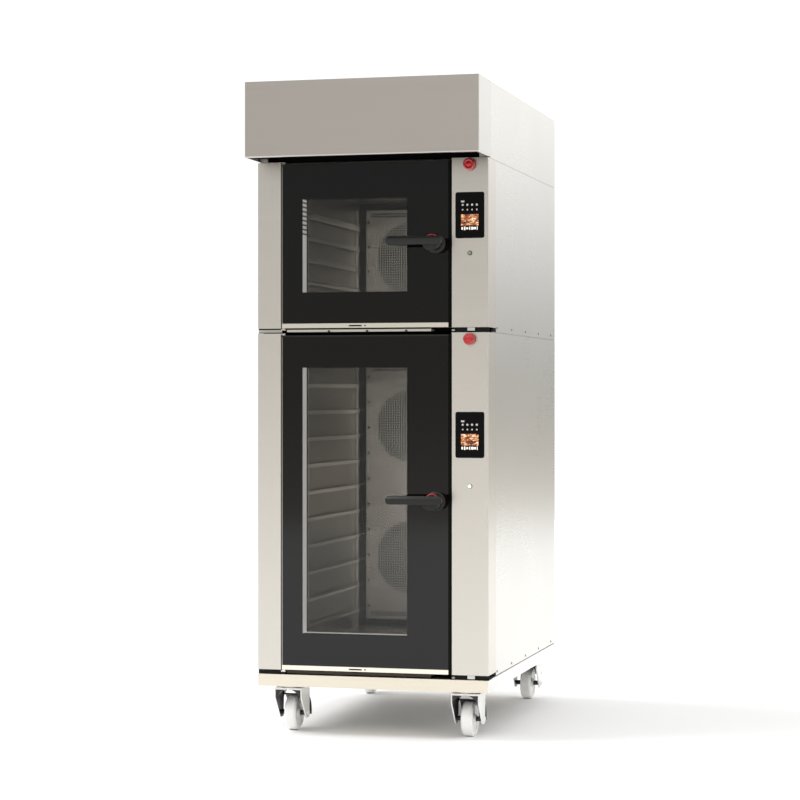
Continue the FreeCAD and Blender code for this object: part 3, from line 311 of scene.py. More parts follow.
def doorSteel(ovenName):
    # painted shade above and beside the glass, a painted highlight below it, and one slot and a screw hole
    # painted black as shade
    glassLow, glassHigh = low(f"{ovenName}_door_outer_glass"), high(f"{ovenName}_door_outer_glass")
    frameLow = low(f"{ovenName}_door_frame")
    rise = [frameLow.z + part for part in doorStrips["slotRise"]]

    def above(x, y, z):
        return z > glassHigh.z

    def beside(x, y, z):
        return x > glassHigh.x + 0.0002

    def below(x, y, z):
        return (z < glassLow.z) * (x < glassHigh.x + 0.0002)

    def openings(x, y, z):
        return x.within(*doorStrips["slot"]).either(x.within(*doorStrips["hole"])) * z.within(*rise)

    patches = [(above, doorStrips["top"]), (below, doorStrips["bottom"]), (beside, doorStrips["side"]),
               (openings, shadeAndScrewBlack)]
    return steel(f"{ovenName}DoorSteel", rgb(190, 186, 178), 0.25, False, fineGrain, patches=patches)


# painted shade: the chamber flanges in the gaps under the doors, in black
def underDoors(x, y, z):
    floors = [low(f"{name}_chamber").z for name in ("lower", "upper")]
    lower, upper = [z.within(floor - 0.010, floor + 0.018) for floor in floors]
    return lower.either(upper)


# painted shade: the chamber behind the baffle, in black
def behindBaffle(x, y, z):
    return y > low("lower_air_baffle").y + 0.006


# painted shade: the upright sheets darker than the rails
def rackSheets(x, y, z):  # the upright sheets that carry the rails
    rackLow, rackHigh = low("lower_shelf_racks"), high("lower_shelf_racks")
    return (x < rackLow.x + 0.004).either(x > rackHigh.x - 0.004)


# the chamber walls darker than the rails and the baffle as painted shade, and black painted shade under the
# doors and behind the baffle
chamberSteel = steel("chamberSteel", rgb(168, 163, 153), 0.33, True, fineGrain, patches=[
    (underDoors, shadeAndScrewBlack), (behindBaffle, shadeAndScrewBlack)])
baffleSteel = steel("baffleSteel", rgb(212, 207, 197), 0.36, True, fineGrain)
# the fans near black as painted shade behind the baffle
fanDark = steel("fanDark", rgb(34, 34, 33), 0.5)
rackSteel = steel("rackSteel", rgb(226, 223, 214), 0.26, False, fineGrain, patches=[
    (rackSheets, rgb(160, 156, 148))])
galvanised = steel("galvanised", rgb(176, 178, 178), 0.45)
rearSheet = {"inset": 0.045, "seam": 0.0014, "vent": (0.16, 0.055, 0.145), "slot": 0.0125, "slotShare": 0.38,
             "screw": 0.0045, "screwInset": 0.022}


def rearPanel(ovenName):
    # a screwed cover with a vent near its top; the vent slots are painted black as shade
    casingLow, casingHigh = low(f"{ovenName}_casing"), high(f"{ovenName}_casing")
    half, bottom, top = casingHigh.x, casingLow.z, casingHigh.z

    def cover(x, z, inset):
        return (x.size() < half - inset) * z.within(bottom + inset, top - inset)

    def seam(x, y, z):
        inset = rearSheet["inset"]
        edge = cover(x, z, inset) * (1 - cover(x, z, inset + rearSheet["seam"]))
        return edge * (y > casingHigh.y - 0.001)

    # painted shade: the vent slots in black, on a flat sheet
    def vent(x, y, z):
        halfVent, startDrop, endDrop = rearSheet["vent"]
        slots = z.math("FRACT", z * (1 / rearSheet["slot"]), 0.0) < rearSheet["slotShare"]
        opening = (x.size() < halfVent) * z.within(top - endDrop, top - startDrop)
        return slots * opening * (y > casingHigh.y - 0.001)

    def screws(x, y, z):
        side = half - rearSheet["screwInset"]
        across = (x.size() - side) * (x.size() - side)
        heights = [bottom + rearSheet["screwInset"], (bottom + top) / 2, top - rearSheet["screwInset"]]
        heads = [across + (z - height) * (z - height) < rearSheet["screw"] ** 2 for height in heights]
        return heads[0].either(heads[1]).either(heads[2]) * (y > casingHigh.y - 0.001)

    return steel(f"{ovenName}RearSheet", rgb(184, 185, 184), 0.42, patches=[
        (seam, rgb(60, 60, 60)), (vent, shadeAndScrewBlack), (screws, rgb(70, 70, 70))])


boltZinc = steel("boltZinc", rgb(92, 92, 90), 0.35, False, fineGrain)
plateZinc = steel("plateZinc", rgb(212, 212, 208), 0.35, False, fineGrain)
# dark steel, made darker still as painted shade behind the baffle
elementSteel = steel("elementSteel", rgb(48, 44, 40), 0.5, True)
brassFitting = steel("brassFitting", rgb(190, 150, 90), 0.3, True, fineGrain)
motorEnamel = enamel("motorEnamel", rgb(70, 76, 82), 0.4)
forkInside = {"half": 0.0469, "crown": 0.0062}


def forkPaint(corner):
    # white outside, with painted shade in black between the legs
    forkLow, forkHigh = low(f"castor_fork_{corner}"), high(f"castor_fork_{corner}")
    centre = (forkLow.x + forkHigh.x) / 2

    def inside(x, y, z):
        return ((x - centre).size() < forkInside["half"]) * (z < forkHigh.z - forkInside["crown"])

    return enamel(f"forkWhite_{corner}", rgb(248, 248, 246), 0.3, [(inside, shadeAndScrewBlack)])


wheelWhite = moulded("wheelWhite", rgb(252, 252, 250), 0.45)
gutter = {"right": 0.216, "left": -0.3335, "rim": 0.0125, "screws": (-0.161, -0.019, 0.125), "screw": 0.0045}
gutterJoint = low("upper_chamber").z


# painted shade: the kick strips in black
def gutterKick(x, y, z):  # the set-back strips under the posts
    return (x > gutter["right"]).either(x < gutter["left"])


# painted highlight: a lighter rim along the joint
def gutterLight(x, y, z):
    return (x < gutter["right"]) * z.within(gutterJoint + 0.003, gutterJoint + gutter["rim"])


def gutterScrews(x, y, z):
    spots = [x.within(spot - gutter["screw"], spot + gutter["screw"]) for spot in gutter["screws"]]
    return spots[0].either(spots[1]).either(spots[2]) * z.within(gutterJoint + 0.004, gutterJoint + 0.010)


# one steel painted dark brown as shade in the gap, lighter at its rim as a painted highlight, with black
# painted shade on the kick strips and black screw heads
gutterBrown = steel("gutterBrown", rgb(64, 55, 48), 0.5, False, fineGrain, 0.5, [
    (gutterKick, shadeAndScrewBlack), (gutterLight, rgb(200, 197, 186)), (gutterScrews, shadeAndScrewBlack)])
handleBlack = moulded("handleBlack", rgb(30, 30, 29), 0.42, shine=0.32)
bossBlack = moulded("bossBlack", rgb(22, 22, 21), 0.45, shine=0.3)
redPlastic = moulded("redPlastic", rgb(176, 24, 28), 0.3, 600, 0.03, 0.3)
ringRed = moulded("ringRed", rgb(190, 34, 44), 0.3, 600, 0.03)
# black for the sheets that stand for shade in the castor arches
wheelShadeBlack = moulded("wheelShadeBlack", rgb(26, 26, 26), 0.35)
rubberSeal = moulded("rubberSeal", rgb(34, 34, 34), 0.7, 500, 0.2)
lampWhite = glowing("lampWhite", (0.95, 0.95, 0.9, 1), 0.55)
woolYellow = wool("woolYellow")
boardGreen = circuitBoard("boardGreen")
screenBlack = moulded("screenBlack", rgb(8, 8, 9), 0.15, 1500, 0.0, 0.0, 0.12)
greyLens = moulded("greyLens", rgb(140, 138, 132), 0.3, 600, 0.02)
whiteLens = glowing("whiteLens", (1.0, 1.0, 1.0, 1), 0.9)
innerGlass = clearGlass("innerGlass", 0.14, (0.05, 0.05, 0.05, 1))
print("materials made")


def coat(material, *names):
    for name in names:
        mesh = nodes[name].data
        mesh.materials.clear()
        mesh.materials.append(material)


ovenNames = ("lower", "upper")
for ovenName in ovenNames:
    coat(frontSteel, f"{ovenName}_left_stile", f"{ovenName}_control_fascia")
    coat(sideSteel, f"{ovenName}_side_panels")
    coat(rearPanel(ovenName), f"{ovenName}_casing")
    coat(chamberSteel, f"{ovenName}_chamber")
    coat(baffleSteel, f"{ovenName}_air_baffle")
    coat(rackSteel, f"{ovenName}_shelf_racks")
    coat(doorSteel(ovenName), f"{ovenName}_door_frame")
    coat(innerGlass, f"{ovenName}_door_inner_glass")
    coat(lampWhite, f"{ovenName}_door_lamp")
    coat(bossBlack, f"{ovenName}_handle_rosette")
    coat(handleBlack, f"{ovenName}_door_handle")
    coat(redPlastic, f"{ovenName}_stop_button")
coat(greyLens, "upper_start_button")
coat(whiteLens, "lower_start_button")
coat(hoodSteel, "hood_fascia")
coat(hoodCasingSteel, "hood_casing")
coat(sideSteel, "exhaust_collar")
coat(shadeAndScrewDark, "hood_filter")
coat(galvanised, "hood_fan")
coat(fanDark, "upper_fan", "lower_fan_top", "lower_fan_bottom")
coat(baseSteel, "base_frame")
coat(plateZinc, "castor_plates")
coat(boltZinc, "castor_bolts", "panel_rivets")
coat(gutterBrown, "drip_gutters")
coat(edgeSteel, "door_hinges_and_keepers")
coat(rubberSeal, "door_gaskets")
coat(woolYellow, "insulation")
coat(motorEnamel, "fan_motors")
coat(elementSteel, "heating_elements")
coat(screenBlack, "touch_screens")
coat(boardGreen, "control_electronics")
coat(brassFitting, "service_fittings")
castorCorners = ("front_left", "front_right", "rear_left", "rear_right")
for corner in castorCorners:
    coat(forkPaint(corner), f"castor_fork_{corner}")
    coat(wheelWhite, f"castor_wheel_{corner}")


# small modelling helpers

def piece(name, shape, body, material, smooth=False, stands=()):
    # turns a bmesh into a finished piece that rides on a body
    mesh = bpy.data.meshes.new(name)
    shape.to_mesh(mesh)
    shape.free()
    mesh.materials.append(material)
    thing = bpy.data.objects.new(name, mesh)
    bpy.context.scene.collection.objects.link(thing)
    if smooth:
        mesh.shade_smooth()
        mesh.set_sharp_from_angle(angle=radians(35))
    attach(thing, body)
    if stands:
        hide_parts(*stands)
    return thing


def rounded(shape, edges, radius, steps=3):
    bmesh.ops.bevel(shape, geom=edges, offset=radius, segments=steps, profile=0.5, material=-1, affect="EDGES")


def block(lowCorner, highCorner, radius=0.0, steps=2):
    shape = bmesh.new()
    bmesh.ops.create_cube(shape, size=1)
    size = Vector(highCorner) - Vector(lowCorner)
    bmesh.ops.scale(shape, vec=size, verts=shape.verts)
    bmesh.ops.translate(shape, vec=(Vector(lowCorner) + Vector(highCorner)) / 2, verts=shape.verts)
    if radius:
        rounded(shape, shape.edges[:], radius, steps)
    return shape


def join(first, second):
    # adds the second bmesh to the first
    spare = bpy.data.meshes.new("spare")
    second.to_mesh(spare)
    second.free()
    first.from_mesh(spare)
    bpy.data.meshes.remove(spare)
    return first


def spun(profile, centre, steps=64):
    # turns (along, radius) pairs once about a front-to-back axis through centre
    shape = bmesh.new()
    corners = [shape.verts.new((0, along, radius)) for along, radius in profile]
    edges = [shape.edges.new(pair) for pair in zip(corners, corners[1:])]
    bmesh.ops.spin(shape, geom=corners + edges, cent=(0, 0, 0), axis=(0, 1, 0), angle=2 * pi, steps=steps,
                   use_merge=True)
    bmesh.ops.remove_doubles(shape, verts=shape.verts, dist=1e-6)
    bmesh.ops.recalc_face_normals(shape, faces=shape.faces)
    bmesh.ops.translate(shape, vec=centre, verts=shape.verts)
    return shape


# perforated air baffles

baffle = {"pitch": 0.0095, "bar": 0.0044, "wall": 0.0015, "fanRadius": 0.1425, "band": (1.2, 3.4),
          "bandEnds": 2, "screw": 0.0056, "screwPitch": 0.1}


def perforatedBaffle(ovenName, fanNodes):
    node = f"{ovenName}_air_baffle"
    bottom, top = low(node), high(node)
    centres = [middle(fan) for fan in fanNodes]
    pitch = baffle["pitch"]
    across = round((top.x - bottom.x) / pitch)
    upward = round((top.z - bottom.z) / pitch)
    shape = bmesh.new()
    bmesh.ops.create_grid(shape, x_segments=across, y_segments=upward, size=0.5)
    bmesh.ops.scale(shape, vec=(top.x - bottom.x, top.z - bottom.z, 1), verts=shape.verts)
    bmesh.ops.rotate(shape, cent=(0, 0, 0), matrix=Matrix.Rotation(radians(90), 3, "X"), verts=shape.verts)
    centre = (bottom + top) / 2
    bmesh.ops.translate(shape, vec=(centre.x, bottom.y, centre.z), verts=shape.verts)
    bandStart, bandEnd = [pitch * share for share in baffle["band"]]
    bandSide = baffle["bandEnds"] * pitch
    holes = []
    for face in shape.faces:
        spot = face.calc_center_median()
        nearFan = any((spot.xz - fan.xz).length < baffle["fanRadius"] for fan in centres)
        fromEdge = min(spot.z - bottom.z, top.z - spot.z)
        inBand = bandStart < fromEdge < bandEnd and bottom.x + bandSide < spot.x < top.x - bandSide
        if nearFan or inBand:
            holes.append(face)
    bmesh.ops.inset_individual(shape, faces=holes, thickness=baffle["bar"] / 2)
    bmesh.ops.delete(shape, geom=holes, context="FACES")
    outline = [edge for edge in shape.edges if edge.is_boundary and
               (abs(edge.verts[0].co.x - edge.verts[1].co.x) < 1e-6) and
               min(edge.verts[0].co.x - bottom.x, top.x - edge.verts[0].co.x) < 1e-4]
    back = bmesh.ops.extrude_edge_only(shape, edges=outline)
    moved = [item for item in back["geom"] if isinstance(item, bmesh.types.BMVert)]
    bmesh.ops.translate(shape, vec=(0, top.y - bottom.y, 0), verts=moved)
    thing = piece(f"{ovenName}Baffle", shape, root, baffleSteel, stands=[node])
    wall = thing.modifiers.new("wall", "SOLIDIFY")
    wall.thickness = baffle["wall"]
    wall.offset = -1
    return thing


perforatedBaffle("upper", ["upper_fan"])
perforatedBaffle("lower", ["lower_fan_top", "lower_fan_bottom"])


def baffleScrews(ovenName):
    node = f"{ovenName}_air_baffle"
    bottom, top = low(node), high(node)
    count = round((top.z - bottom.z) / baffle["screwPitch"])
    heads = bmesh.new()
    size = baffle["screw"]
    dome = [(0, size), (-0.0012, size), (-0.0022, size * 0.6), (-0.0024, 0)]
    for index in range(count):
        height = bottom.z + (index + 0.5) * (top.z - bottom.z) / count
        for x in (bottom.x + 0.01, top.x - 0.01):
            join(heads, spun(dome, (x, bottom.y, height), steps=16))
    piece(f"{ovenName}BaffleScrews", heads, root, shadeAndScrewDark, True)


baffleScrews("upper")
baffleScrews("lower")
print("baffles made")


# lever handles

lever = {"height": 0.030, "thick": 0.022, "end": 0.0135, "slope": 0.009, "lean": 0.007, "edge": 0.0012,
         "bossRadius": 0.031, "bossSetback": 0.004, "spindle": 0.0099, "arm": (0.030, 0.012, 0.004)}


def leverHandle(ovenName):
    # a bar with a sloped top edge, over a half-round boss, with its spindle and latch arm
    node = f"{ovenName}_door_handle"
    bottom, top = low(node), high(node)
    pivot = middle(f"{ovenName}_handle_rosette")
    back = bottom.y + lever["thick"]
    bar = block((bottom.x, bottom.y, top.z - lever["height"]), (top.x, back, top.z))
    corners = [edge for edge in bar.edges if abs(edge.verts[0].co.y - edge.verts[1].co.y) > 0.01]
    rounded(bar, corners, lever["end"], 6)
    shoulder = top.z - lever["slope"]
    bmesh.ops.bisect_plane(bar, geom=bar.verts[:] + bar.edges[:] + bar.faces[:], plane_co=(0, 0, shoulder),
                           plane_no=(0, 0, 1))
    for corner in bar.verts:
        if corner.co.y < bottom.y + 1e-5 and corner.co.z > shoulder:
            corner.co.y += (corner.co.z - shoulder) / lever["slope"] * lever["lean"]
    rounded(bar, [edge for edge in bar.edges if edge.calc_face_angle(0) > 0.8], lever["edge"], 2)
    front = bottom.y + lever["bossSetback"]
    radius = lever["bossRadius"]
    boss = spun([(front, 0), (front, radius - 0.003), (front + 0.001, radius - 0.001), (front + 0.003, radius),
                 (back, radius), (back, 0)], (pivot.x, 0, pivot.z), steps=64)
    bmesh.ops.bisect_plane(boss, geom=boss.verts[:] + boss.edges[:] + boss.faces[:], plane_co=(0, 0, pivot.z),
                           plane_no=(0, 0, 1), clear_outer=True)
    bmesh.ops.holes_fill(boss, edges=[edge for edge in boss.edges if edge.is_boundary])
    piece(f"{ovenName}LeverBoss", boss, f"{ovenName}_handle", bossBlack, True)
    spindle = lever["spindle"]
    join(bar, spun([(back - 0.004, 0), (back - 0.004, spindle), (top.y, spindle), (top.y, 0)],
                   (pivot.x, 0, pivot.z), steps=40))
    reach, height, gauge = lever["arm"]
    start = (pivot.x, top.y - gauge, pivot.z - height / 2)
    join(bar, block(start, (pivot.x + reach, top.y, pivot.z + height / 2), 0.001))
    piece(f"{ovenName}Lever", bar, f"{ovenName}_handle", handleBlack, True, [node])


collar = {"radius": 0.0285, "depth": 0.010, "lip": 0.0258, "bore": 0.0102, "neck": 0.026}


def handleRosette(ovenName):
    # the red collar at the front of the neck, and the black neck spreading to a disc on the glass
    node = f"{ovenName}_handle_rosette"
    bottom, top = low(node), high(node)
    pivot = middle(node)
    radius, bore, neck = collar["radius"], collar["bore"], collar["neck"]
    front, back = bottom.y, bottom.y + collar["depth"]
    lip = collar["lip"]
    profile = [(front, lip), (front, radius - 0.001), (front + 0.001, radius), (back, radius), (back, lip),
               (front, lip)]
    ring = spun(profile, (pivot.x, 0, pivot.z), steps=72)
    disc = (top.x - bottom.x) / 2
    front += 0.0006
    profile = [(front, bore), (front, lip - 0.0002), (back, lip - 0.0002), (back, neck), (top.y - 0.013, neck),
               (top.y - 0.010, neck + 0.002), (top.y - 0.008, disc - 0.002), (top.y - 0.006, disc),
               (top.y, disc), (top.y, bore), (front, bore)]
    foot = spun(profile, (pivot.x, 0, pivot.z), steps=72)
    footPiece = piece(f"{ovenName}HandleNeck", foot, f"{ovenName}_door", bossBlack, True)
    piece(f"{ovenName}LeverCollar", ring, f"{ovenName}_door", ringRed, True)
    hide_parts(node)


for ovenName in ovenNames:
    leverHandle(ovenName)
    handleRosette(ovenName)
print("handles made")


# stop buttons and bezels

stopHead = {"deep": 0.015, "stem": 0.0079, "bezelBore": 0.0086, "bezel": 0.0149, "bezelLip": 0.006}


def stopButton(ovenName):
    node = f"{ovenName}_stop_button"
    bottom, top = low(node), high(node)
    spot = middle(node)
    radius = (top.x - bottom.x) / 2
    front = bottom.y
    back = front + stopHead["deep"]
    stem = stopHead["stem"]
    profile = [(front, 0), (front + 0.0004, radius * 0.34), (front + 0.0022, radius * 0.46),
               (front + 0.0022, radius * 0.62), (front + 0.0006, radius * 0.74), (front + 0.0022, radius * 0.9),
               (front + 0.0060, radius * 0.98), (front + 0.0085, radius), (back - 0.001, radius),
               (back, radius - 0.001), (back, stem), (top.y, stem), (top.y, 0)]
    cap = spun(profile, (spot.x, 0, spot.z), steps=56)
    piece(f"{ovenName}StopCap", cap, f"{ovenName}_stop", redPlastic, True, [node])
    face = low(f"{ovenName}_left_stile").y
    bore, rim, lip = stopHead["bezelBore"], stopHead["bezel"], face - stopHead["bezelLip"]
    bezel = [(lip, bore), (lip, rim - 0.0014), (lip + 0.001, rim), (face, rim)]
    ring = spun(bezel + [(face, bore), bezel[0]], (spot.x, 0, spot.z), steps=48)
    piece(f"{ovenName}StopBezel", ring, root, redPlastic, True)


for ovenName in ovenNames:
    stopButton(ovenName)
print("buttons made")


# touch screen pictures

screen = {"margin": 0.0205, "height": 0.162, "iconRow": (0.045, 0.062), "icon": 0.0085, "iconInset": 0.006,
          "bar": (0.012, 0.036, 0.030), "picture": (0.078, 0.119), "lift": 0.0002,
          "splits": (0.34, 0.30, 0.42), "markRow": 0.1275,
          "marks": ((0.006, 0.009), (0.005, 0.012), (0.007, 0.007), (0.004, 0.011), (0.007, 0.010),
                    (0.009, 0.008), (0.003, 0.012))}


def screenPictures():
    # icon rows over a block of warm picture tiles, on each screen's glass
    bottom, top = low("touch_screens"), high("touch_screens")
    width = top.x - bottom.x
    glassHeight = screen["height"]
    starts = {"lower": bottom.z, "upper": top.z - glassHeight}
    y = bottom.y - screen["lift"]
    for ovenName, base in starts.items():
        glassTop = base + glassHeight
        icons = bmesh.new()
        for row, drop in enumerate(screen["iconRow"]):
            for column in range(4):
                inset = screen["margin"] + screen["iconInset"]
                x = bottom.x + inset + column * (width - 2 * inset) / 3
                size = screen["icon"] / 2 * (1 if row == 0 else 0.75)
                dot = bmesh.new()
                bmesh.ops.create_circle(dot, cap_ends=True, segments=5 + column, radius=size)
                upright = Matrix.Rotation(radians(90), 3, "X")
                bmesh.ops.rotate(dot, cent=(0, 0, 0), matrix=upright, verts=dot.verts)
                bmesh.ops.translate(dot, vec=(x, y, glassTop - drop), verts=dot.verts)
                join(icons, dot)
        barWidth, barDrop, barTop = screen["bar"]
        barLeft = bottom.x + screen["margin"]
        bar = block((barLeft, y, glassTop - barDrop), (barLeft + barWidth, y + 0.0001, glassTop - barTop))
        join(icons, bar)
        piece(f"{ovenName}ScreenIcons", icons, root, iconGlow)
        tiles = bmesh.new()
        startDrop, endDrop = screen["picture"]
        left, right = bottom.x + screen["margin"], top.x - screen["margin"]
        for row, split in enumerate(screen["splits"]):
            rowTop = glassTop - startDrop - row * (endDrop - startDrop) / 3
            rowBottom = rowTop - (endDrop - startDrop) / 3 + 0.001
            seam = left + split * (right - left)
            join(tiles, block((left, y, rowBottom), (seam - 0.0006, y + 0.0001, rowTop)))
            join(tiles, block((seam + 0.0006, y, rowBottom), (right, y + 0.0001, rowTop)))
        piece(f"{ovenName}ScreenPicture", tiles, root, pictureGlow)
        marks = bmesh.new()
        for index, (markWidth, markHeight) in enumerate(screen["marks"]):
            x = left + (index + 0.5) * (right - left) / len(screen["marks"])
            z = glassTop - screen["markRow"]
            join(marks, block((x - markWidth / 2, y, z - markHeight / 2),
                              (x + markWidth / 2, y + 0.0001, z + markHeight / 2)))
        piece(f"{ovenName}ScreenMarks", marks, root, markGlow)


def pictureMaterial():
    paint = Paint("pictureGlow")
    crumbs = paint.noise(160, 5, paint.place((0.6, 1, 1)), 0.7)
    shapes = paint.noise(48, 2, paint.place((0.7, 1, 1.6)))
    stops = [(0.40, (0.02, 0.006, 0.002, 1)), (0.48, (0.22, 0.05, 0.015, 1)), (0.53, (0.5, 0.2, 0.05, 1)),
             (0.60, (0.85, 0.68, 0.5, 1))]
    warm = paint.add("ValToRGB", {"stops": stops}, {0: crumbs * 0.75 + shapes * 0.25})
    return paint.finish(Base_Color=warm, Roughness=0.5, Emission_Color=warm, Emission_Strength=0.6)


iconGlow = glowing("iconGlow", (0.4, 0.38, 0.35, 1), 0.4)
markGlow = glowing("markGlow", (0.8, 0.74, 0.68, 1), 0.6)
pictureGlow = pictureMaterial()
screenPictures()
print("screens made")


# black sheets over the castor wheels, as painted shade in the fork arches

wheelShadeSizes = {"gap": 0.006, "half": 0.0455, "wall": 0.0015, "frontTurn": (-12, 100), "rearTurn": (25, 100),
         "steps": 20}


def castorShadeSheet(corner):
    # a curved black sheet over and behind the wheel, between the legs of the fork, as painted shade
    wheelLow, wheelHigh = low(f"castor_wheel_{corner}"), high(f"castor_wheel_{corner}")
    axle = (wheelLow + wheelHigh) / 2
    radius = (wheelHigh.z - wheelLow.z) / 2 + wheelShadeSizes["gap"]
    start, end = [radians(angle) for angle in wheelShadeSizes["frontTurn" if corner.startswith("front") else "rearTurn"]]
    shape = bmesh.new()
    half = wheelShadeSizes["half"]
    corners = [shape.verts.new((axle.x + side, axle.y + radius * cos(start), axle.z + radius * sin(start)))
               for side in (-half, half)]
    edge = shape.edges.new(corners)
    bmesh.ops.spin(shape, geom=corners + [edge], cent=axle, axis=(1, 0, 0), angle=end - start,
                   steps=wheelShadeSizes["steps"])
    bmesh.ops.remove_doubles(shape, verts=shape.verts, dist=1e-6)
    blackSheet = piece(f"castorShadeSheet_{corner}", shape, f"castor_{corner}_swivel", wheelShadeBlack, True)
    wall = blackSheet.modifiers.new("wall", "SOLIDIFY")
    wall.thickness = wheelShadeSizes["wall"]
    wall.offset = 0


for corner in castorCorners:
    castorShadeSheet(corner)
print("castor liners made")


# window reveals

reveal = {"wall": 0.0015, "gap": 0.0006, "rung": 0.016, "rungShare": 0.35, "rungStart": 0.2}


def revealPaint(ovenName, bottom, top):
    # lit white, with a ladder of dark notches up the short door's upper part
    paint = Paint(f"{ovenName}Reveal")
    x, y, z = paint.axes()
    smears = paint.noise(30, 3, paint.place((1, 1, 0.1)))
    tone = paint.blend(smears, (0.72, 0.71, 0.67, 1), (0.9, 0.89, 0.85, 1))
    glow = paint.blend(smears, (0.5, 0.49, 0.46, 1), (0.66, 0.65, 0.6, 1))
    if ovenName == "upper":
        steps = (z - bottom.z).math("FRACT", (z - bottom.z) * (1 / reveal["rung"]), 0.0)
        rungs = (steps < reveal["rungShare"]) * (z > bottom.z + reveal["rungStart"])
        tone = paint.blend(rungs, tone, (0.05, 0.05, 0.05, 1))
        glow = paint.blend(rungs, glow, (0.03, 0.03, 0.03, 1))
    return paint.finish(Base_Color=tone, Roughness=0.5, Emission_Color=glow, Emission_Strength=2.0)


for ovenName in ovenNames:
    lampLow, lampHigh = low(f"{ovenName}_door_lamp"), high(f"{ovenName}_door_lamp")
    front = high(f"{ovenName}_door_outer_glass").y + reveal["gap"]
    back = lampHigh.y - reveal["gap"]
    wall = reveal["wall"]
    strip = block((lampLow.x, front, lampLow.z), (lampLow.x + wall, back, lampHigh.z), 0.0003)
    if ovenName == "lower":
        paneLow, paneHigh = low("lower_door_inner_glass"), high("lower_door_inner_glass")
        right = paneHigh.x - (lampLow.x - paneLow.x)
        join(strip, block((lampLow.x + wall, front + 0.02, lampLow.z), (right, back, lampLow.z + wall), 0.0003))
    piece(f"{ovenName}WindowReveal", strip, f"{ovenName}_door", revealPaint(ovenName, lampLow, lampHigh),
          stands=[f"{ovenName}_door_lamp"])
print("reveals made")


# tabs, stubs and brackets in the shadow gaps

gapParts = {"tab": (0.349, 0.376), "stub": (0.292, 0.303), "bracket": (0.390, 0.418), "bracketRise": 0.015}


def gapFittings():
    face = low("lower_control_fascia").y
    for ovenName in ovenNames:
        floor = low(f"{ovenName}_chamber").z
        edge = low(f"{ovenName}_control_fascia").z
        left, right = gapParts["tab"]
        tab = block((left, face + 0.001, floor + 0.004), (right, face + 0.011, edge - 0.0004), 0.001)
        piece(f"{ovenName}LatchTab", tab, root, plateZinc)
        left, right = gapParts["stub"]
        stub = block((left, face + 0.003, floor + 0.004), (right, face + 0.011, floor + 0.010), 0.001)
        piece(f"{ovenName}GapStub", stub, root, galvanised)
    left, right = gapParts["bracket"]
    top = high("upper_chamber").z
    brackets = bmesh.new()
    for start, end in ((-right, -left), (left, right)):
        rise = top + gapParts["bracketRise"]
        plate = block((start, face + 0.010, top + 0.0006), (end, face + 0.014, rise), 0.001)
        join(brackets, plate)
        join(brackets, block((start, face + 0.014, top + 0.0006), (end, face + 0.026, top + 0.0026), 0.0006))
    piece("hoodBrackets", brackets, root, plateZinc)


gapFittings()
print("gap fittings made")


# printed door glass

for ovenName in ovenNames:
    lamp = (low(f"{ovenName}_door_lamp"), high(f"{ovenName}_door_lamp"))
    pane = (low(f"{ovenName}_door_inner_glass"), high(f"{ovenName}_door_inner_glass"))
    windowSides = (lamp[0].x, pane[1].x - (lamp[0].x - pane[0].x))
    windowHeights = (lamp[0].z, lamp[1].z)
    coat(printedGlass(f"{ovenName}DoorGlass", (windowSides, windowHeights)), f"{ovenName}_door_outer_glass")


# floor, light and camera

studio = {"floor": 14, "albedo": 0.9, "backdrop": 1.08, "sun": 1.6, "sunSpread": 34,
          "chamber": 3.0}


def makeFloor():
    floorPaint = Paint("studioFloor")
    mottle = floorPaint.noise(0.6, 2)
    albedo = studio["albedo"]
    tone = floorPaint.blend(mottle, shade((1, 1, 1), albedo - 0.01), shade((1, 1, 1), albedo + 0.01))
    floorWhite = floorPaint.finish(Base_Color=tone, Roughness=0.9)
    shape = bmesh.new()
    bmesh.ops.create_circle(shape, cap_ends=True, segments=96, radius=studio["floor"])
    mesh = bpy.data.meshes.new("floor")
    shape.to_mesh(mesh)
    shape.free()
    mesh.materials.append(floorWhite)
    floor = bpy.data.objects.new("floor", mesh)
    bpy.context.scene.collection.objects.link(floor)


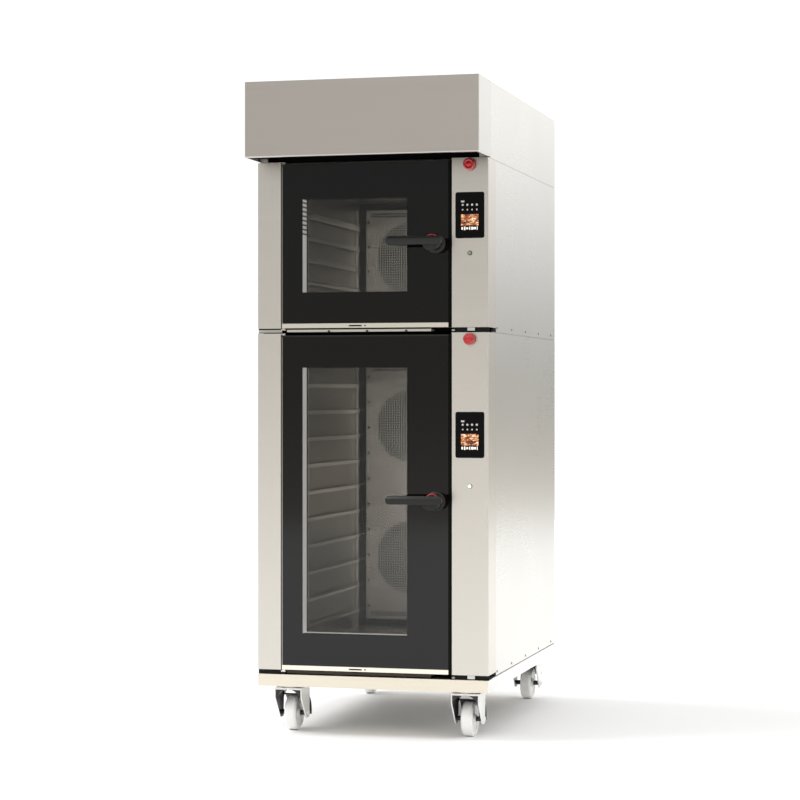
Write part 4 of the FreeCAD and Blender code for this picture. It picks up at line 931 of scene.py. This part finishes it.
def makeSky():
    # a white backdrop behind, a dim wall in front and soft boxes high above it
    sky = Paint("studioSky", bpy.data.worlds)
    towards = sky.add("TexCoord", out="Generated")
    x, y, z = [sky.add("SeparateXYZ", {}, {0: towards}, out) for out in range(3)]
    front = sky.add("ValToRGB", {"stops": [(0.0, (1.05, 1.0, 0.93, 1)), (0.2, (0.47, 0.45, 0.42, 1)),
                                           (0.38, (0.44, 0.44, 0.44, 1)), (0.62, (0.42, 0.42, 0.43, 1)),
                                           (1.0, (1.2, 1.2, 1.2, 1))]}, {0: z.rising(-0.1, 0.4)})
    side = sky.add("ValToRGB", {"stops": [(0.0, (1.3, 1.26, 1.16, 1)), (0.2, (0.72, 0.67, 0.58, 1)),
                                          (0.42, (0.33, 0.32, 0.3, 1)), (0.55, (0.44, 0.44, 0.44, 1)),
                                          (0.9, (1.25, 1.25, 1.25, 1))]}, {0: z.rising(-0.11, 0.14)})
    white = studio["backdrop"]
    behind = sky.blend(x.rising(-0.05, 0.1), (white, white, white, 1), side)
    tone = sky.blend(y.rising(-0.25, 0.05), front, behind)
    surface = sky.add("Background", {}, {"Color": tone, "Strength": 1.0})
    sky.add("OutputWorld", {}, {"Surface": surface})
    bpy.context.scene.world = sky.block


def areaLight(name, spot, aim, size, power, colour=(1, 1, 1)):
    data = bpy.data.lights.new(name, "AREA")
    data.shape = "RECTANGLE"
    data.size, data.size_y = size
    data.energy = power
    data.color = colour
    light = bpy.data.objects.new(name, data)
    light.location = spot
    light.rotation_euler = (Vector(aim) - Vector(spot)).to_track_quat("-Z", "Y").to_euler()
    bpy.context.scene.collection.objects.link(light)
    return light


camera = {"spot": (2.1338, -8.3927, 1.2163), "turn": 14.51, "lens": 102.85, "shiftY": -0.0053}


def makeCamera():
    data = bpy.data.cameras.new("camera")
    data.lens = camera["lens"]
    data.sensor_width = 36
    data.shift_y = camera["shiftY"]
    data.clip_end = 200
    eye = bpy.data.objects.new("camera", data)
    eye.location = camera["spot"]
    eye.rotation_euler = (radians(90), 0, radians(camera["turn"]))
    bpy.context.scene.collection.objects.link(eye)
    bpy.context.scene.camera = eye


def makeSun():
    data = bpy.data.lights.new("sun", "SUN")
    data.energy = studio["sun"]
    data.angle = radians(studio["sunSpread"])
    sun = bpy.data.objects.new("sun", data)
    sun.rotation_euler = Vector((0.85, 0.15, -1.0)).to_track_quat("-Z", "Y").to_euler()
    bpy.context.scene.collection.objects.link(sun)


makeFloor()
makeSky()
makeSun()
makeCamera()
for ovenName in ovenNames:
    chamberLow, chamberHigh = low(f"{ovenName}_shelf_racks"), high(f"{ovenName}_shelf_racks")
    width = chamberHigh.x - chamberLow.x
    front = chamberLow.y + 0.01
    centre = (chamberLow + chamberHigh) / 2
    tall = chamberHigh.z - chamberLow.z
    areaLight(f"{ovenName}ChamberLight", (centre.x, front, centre.z), (centre.x, front + 1, centre.z),
              (width * 0.9, tall * 0.9), studio["chamber"] * tall)
bpy.context.scene.view_settings.view_transform = "Standard"
print("studio made")
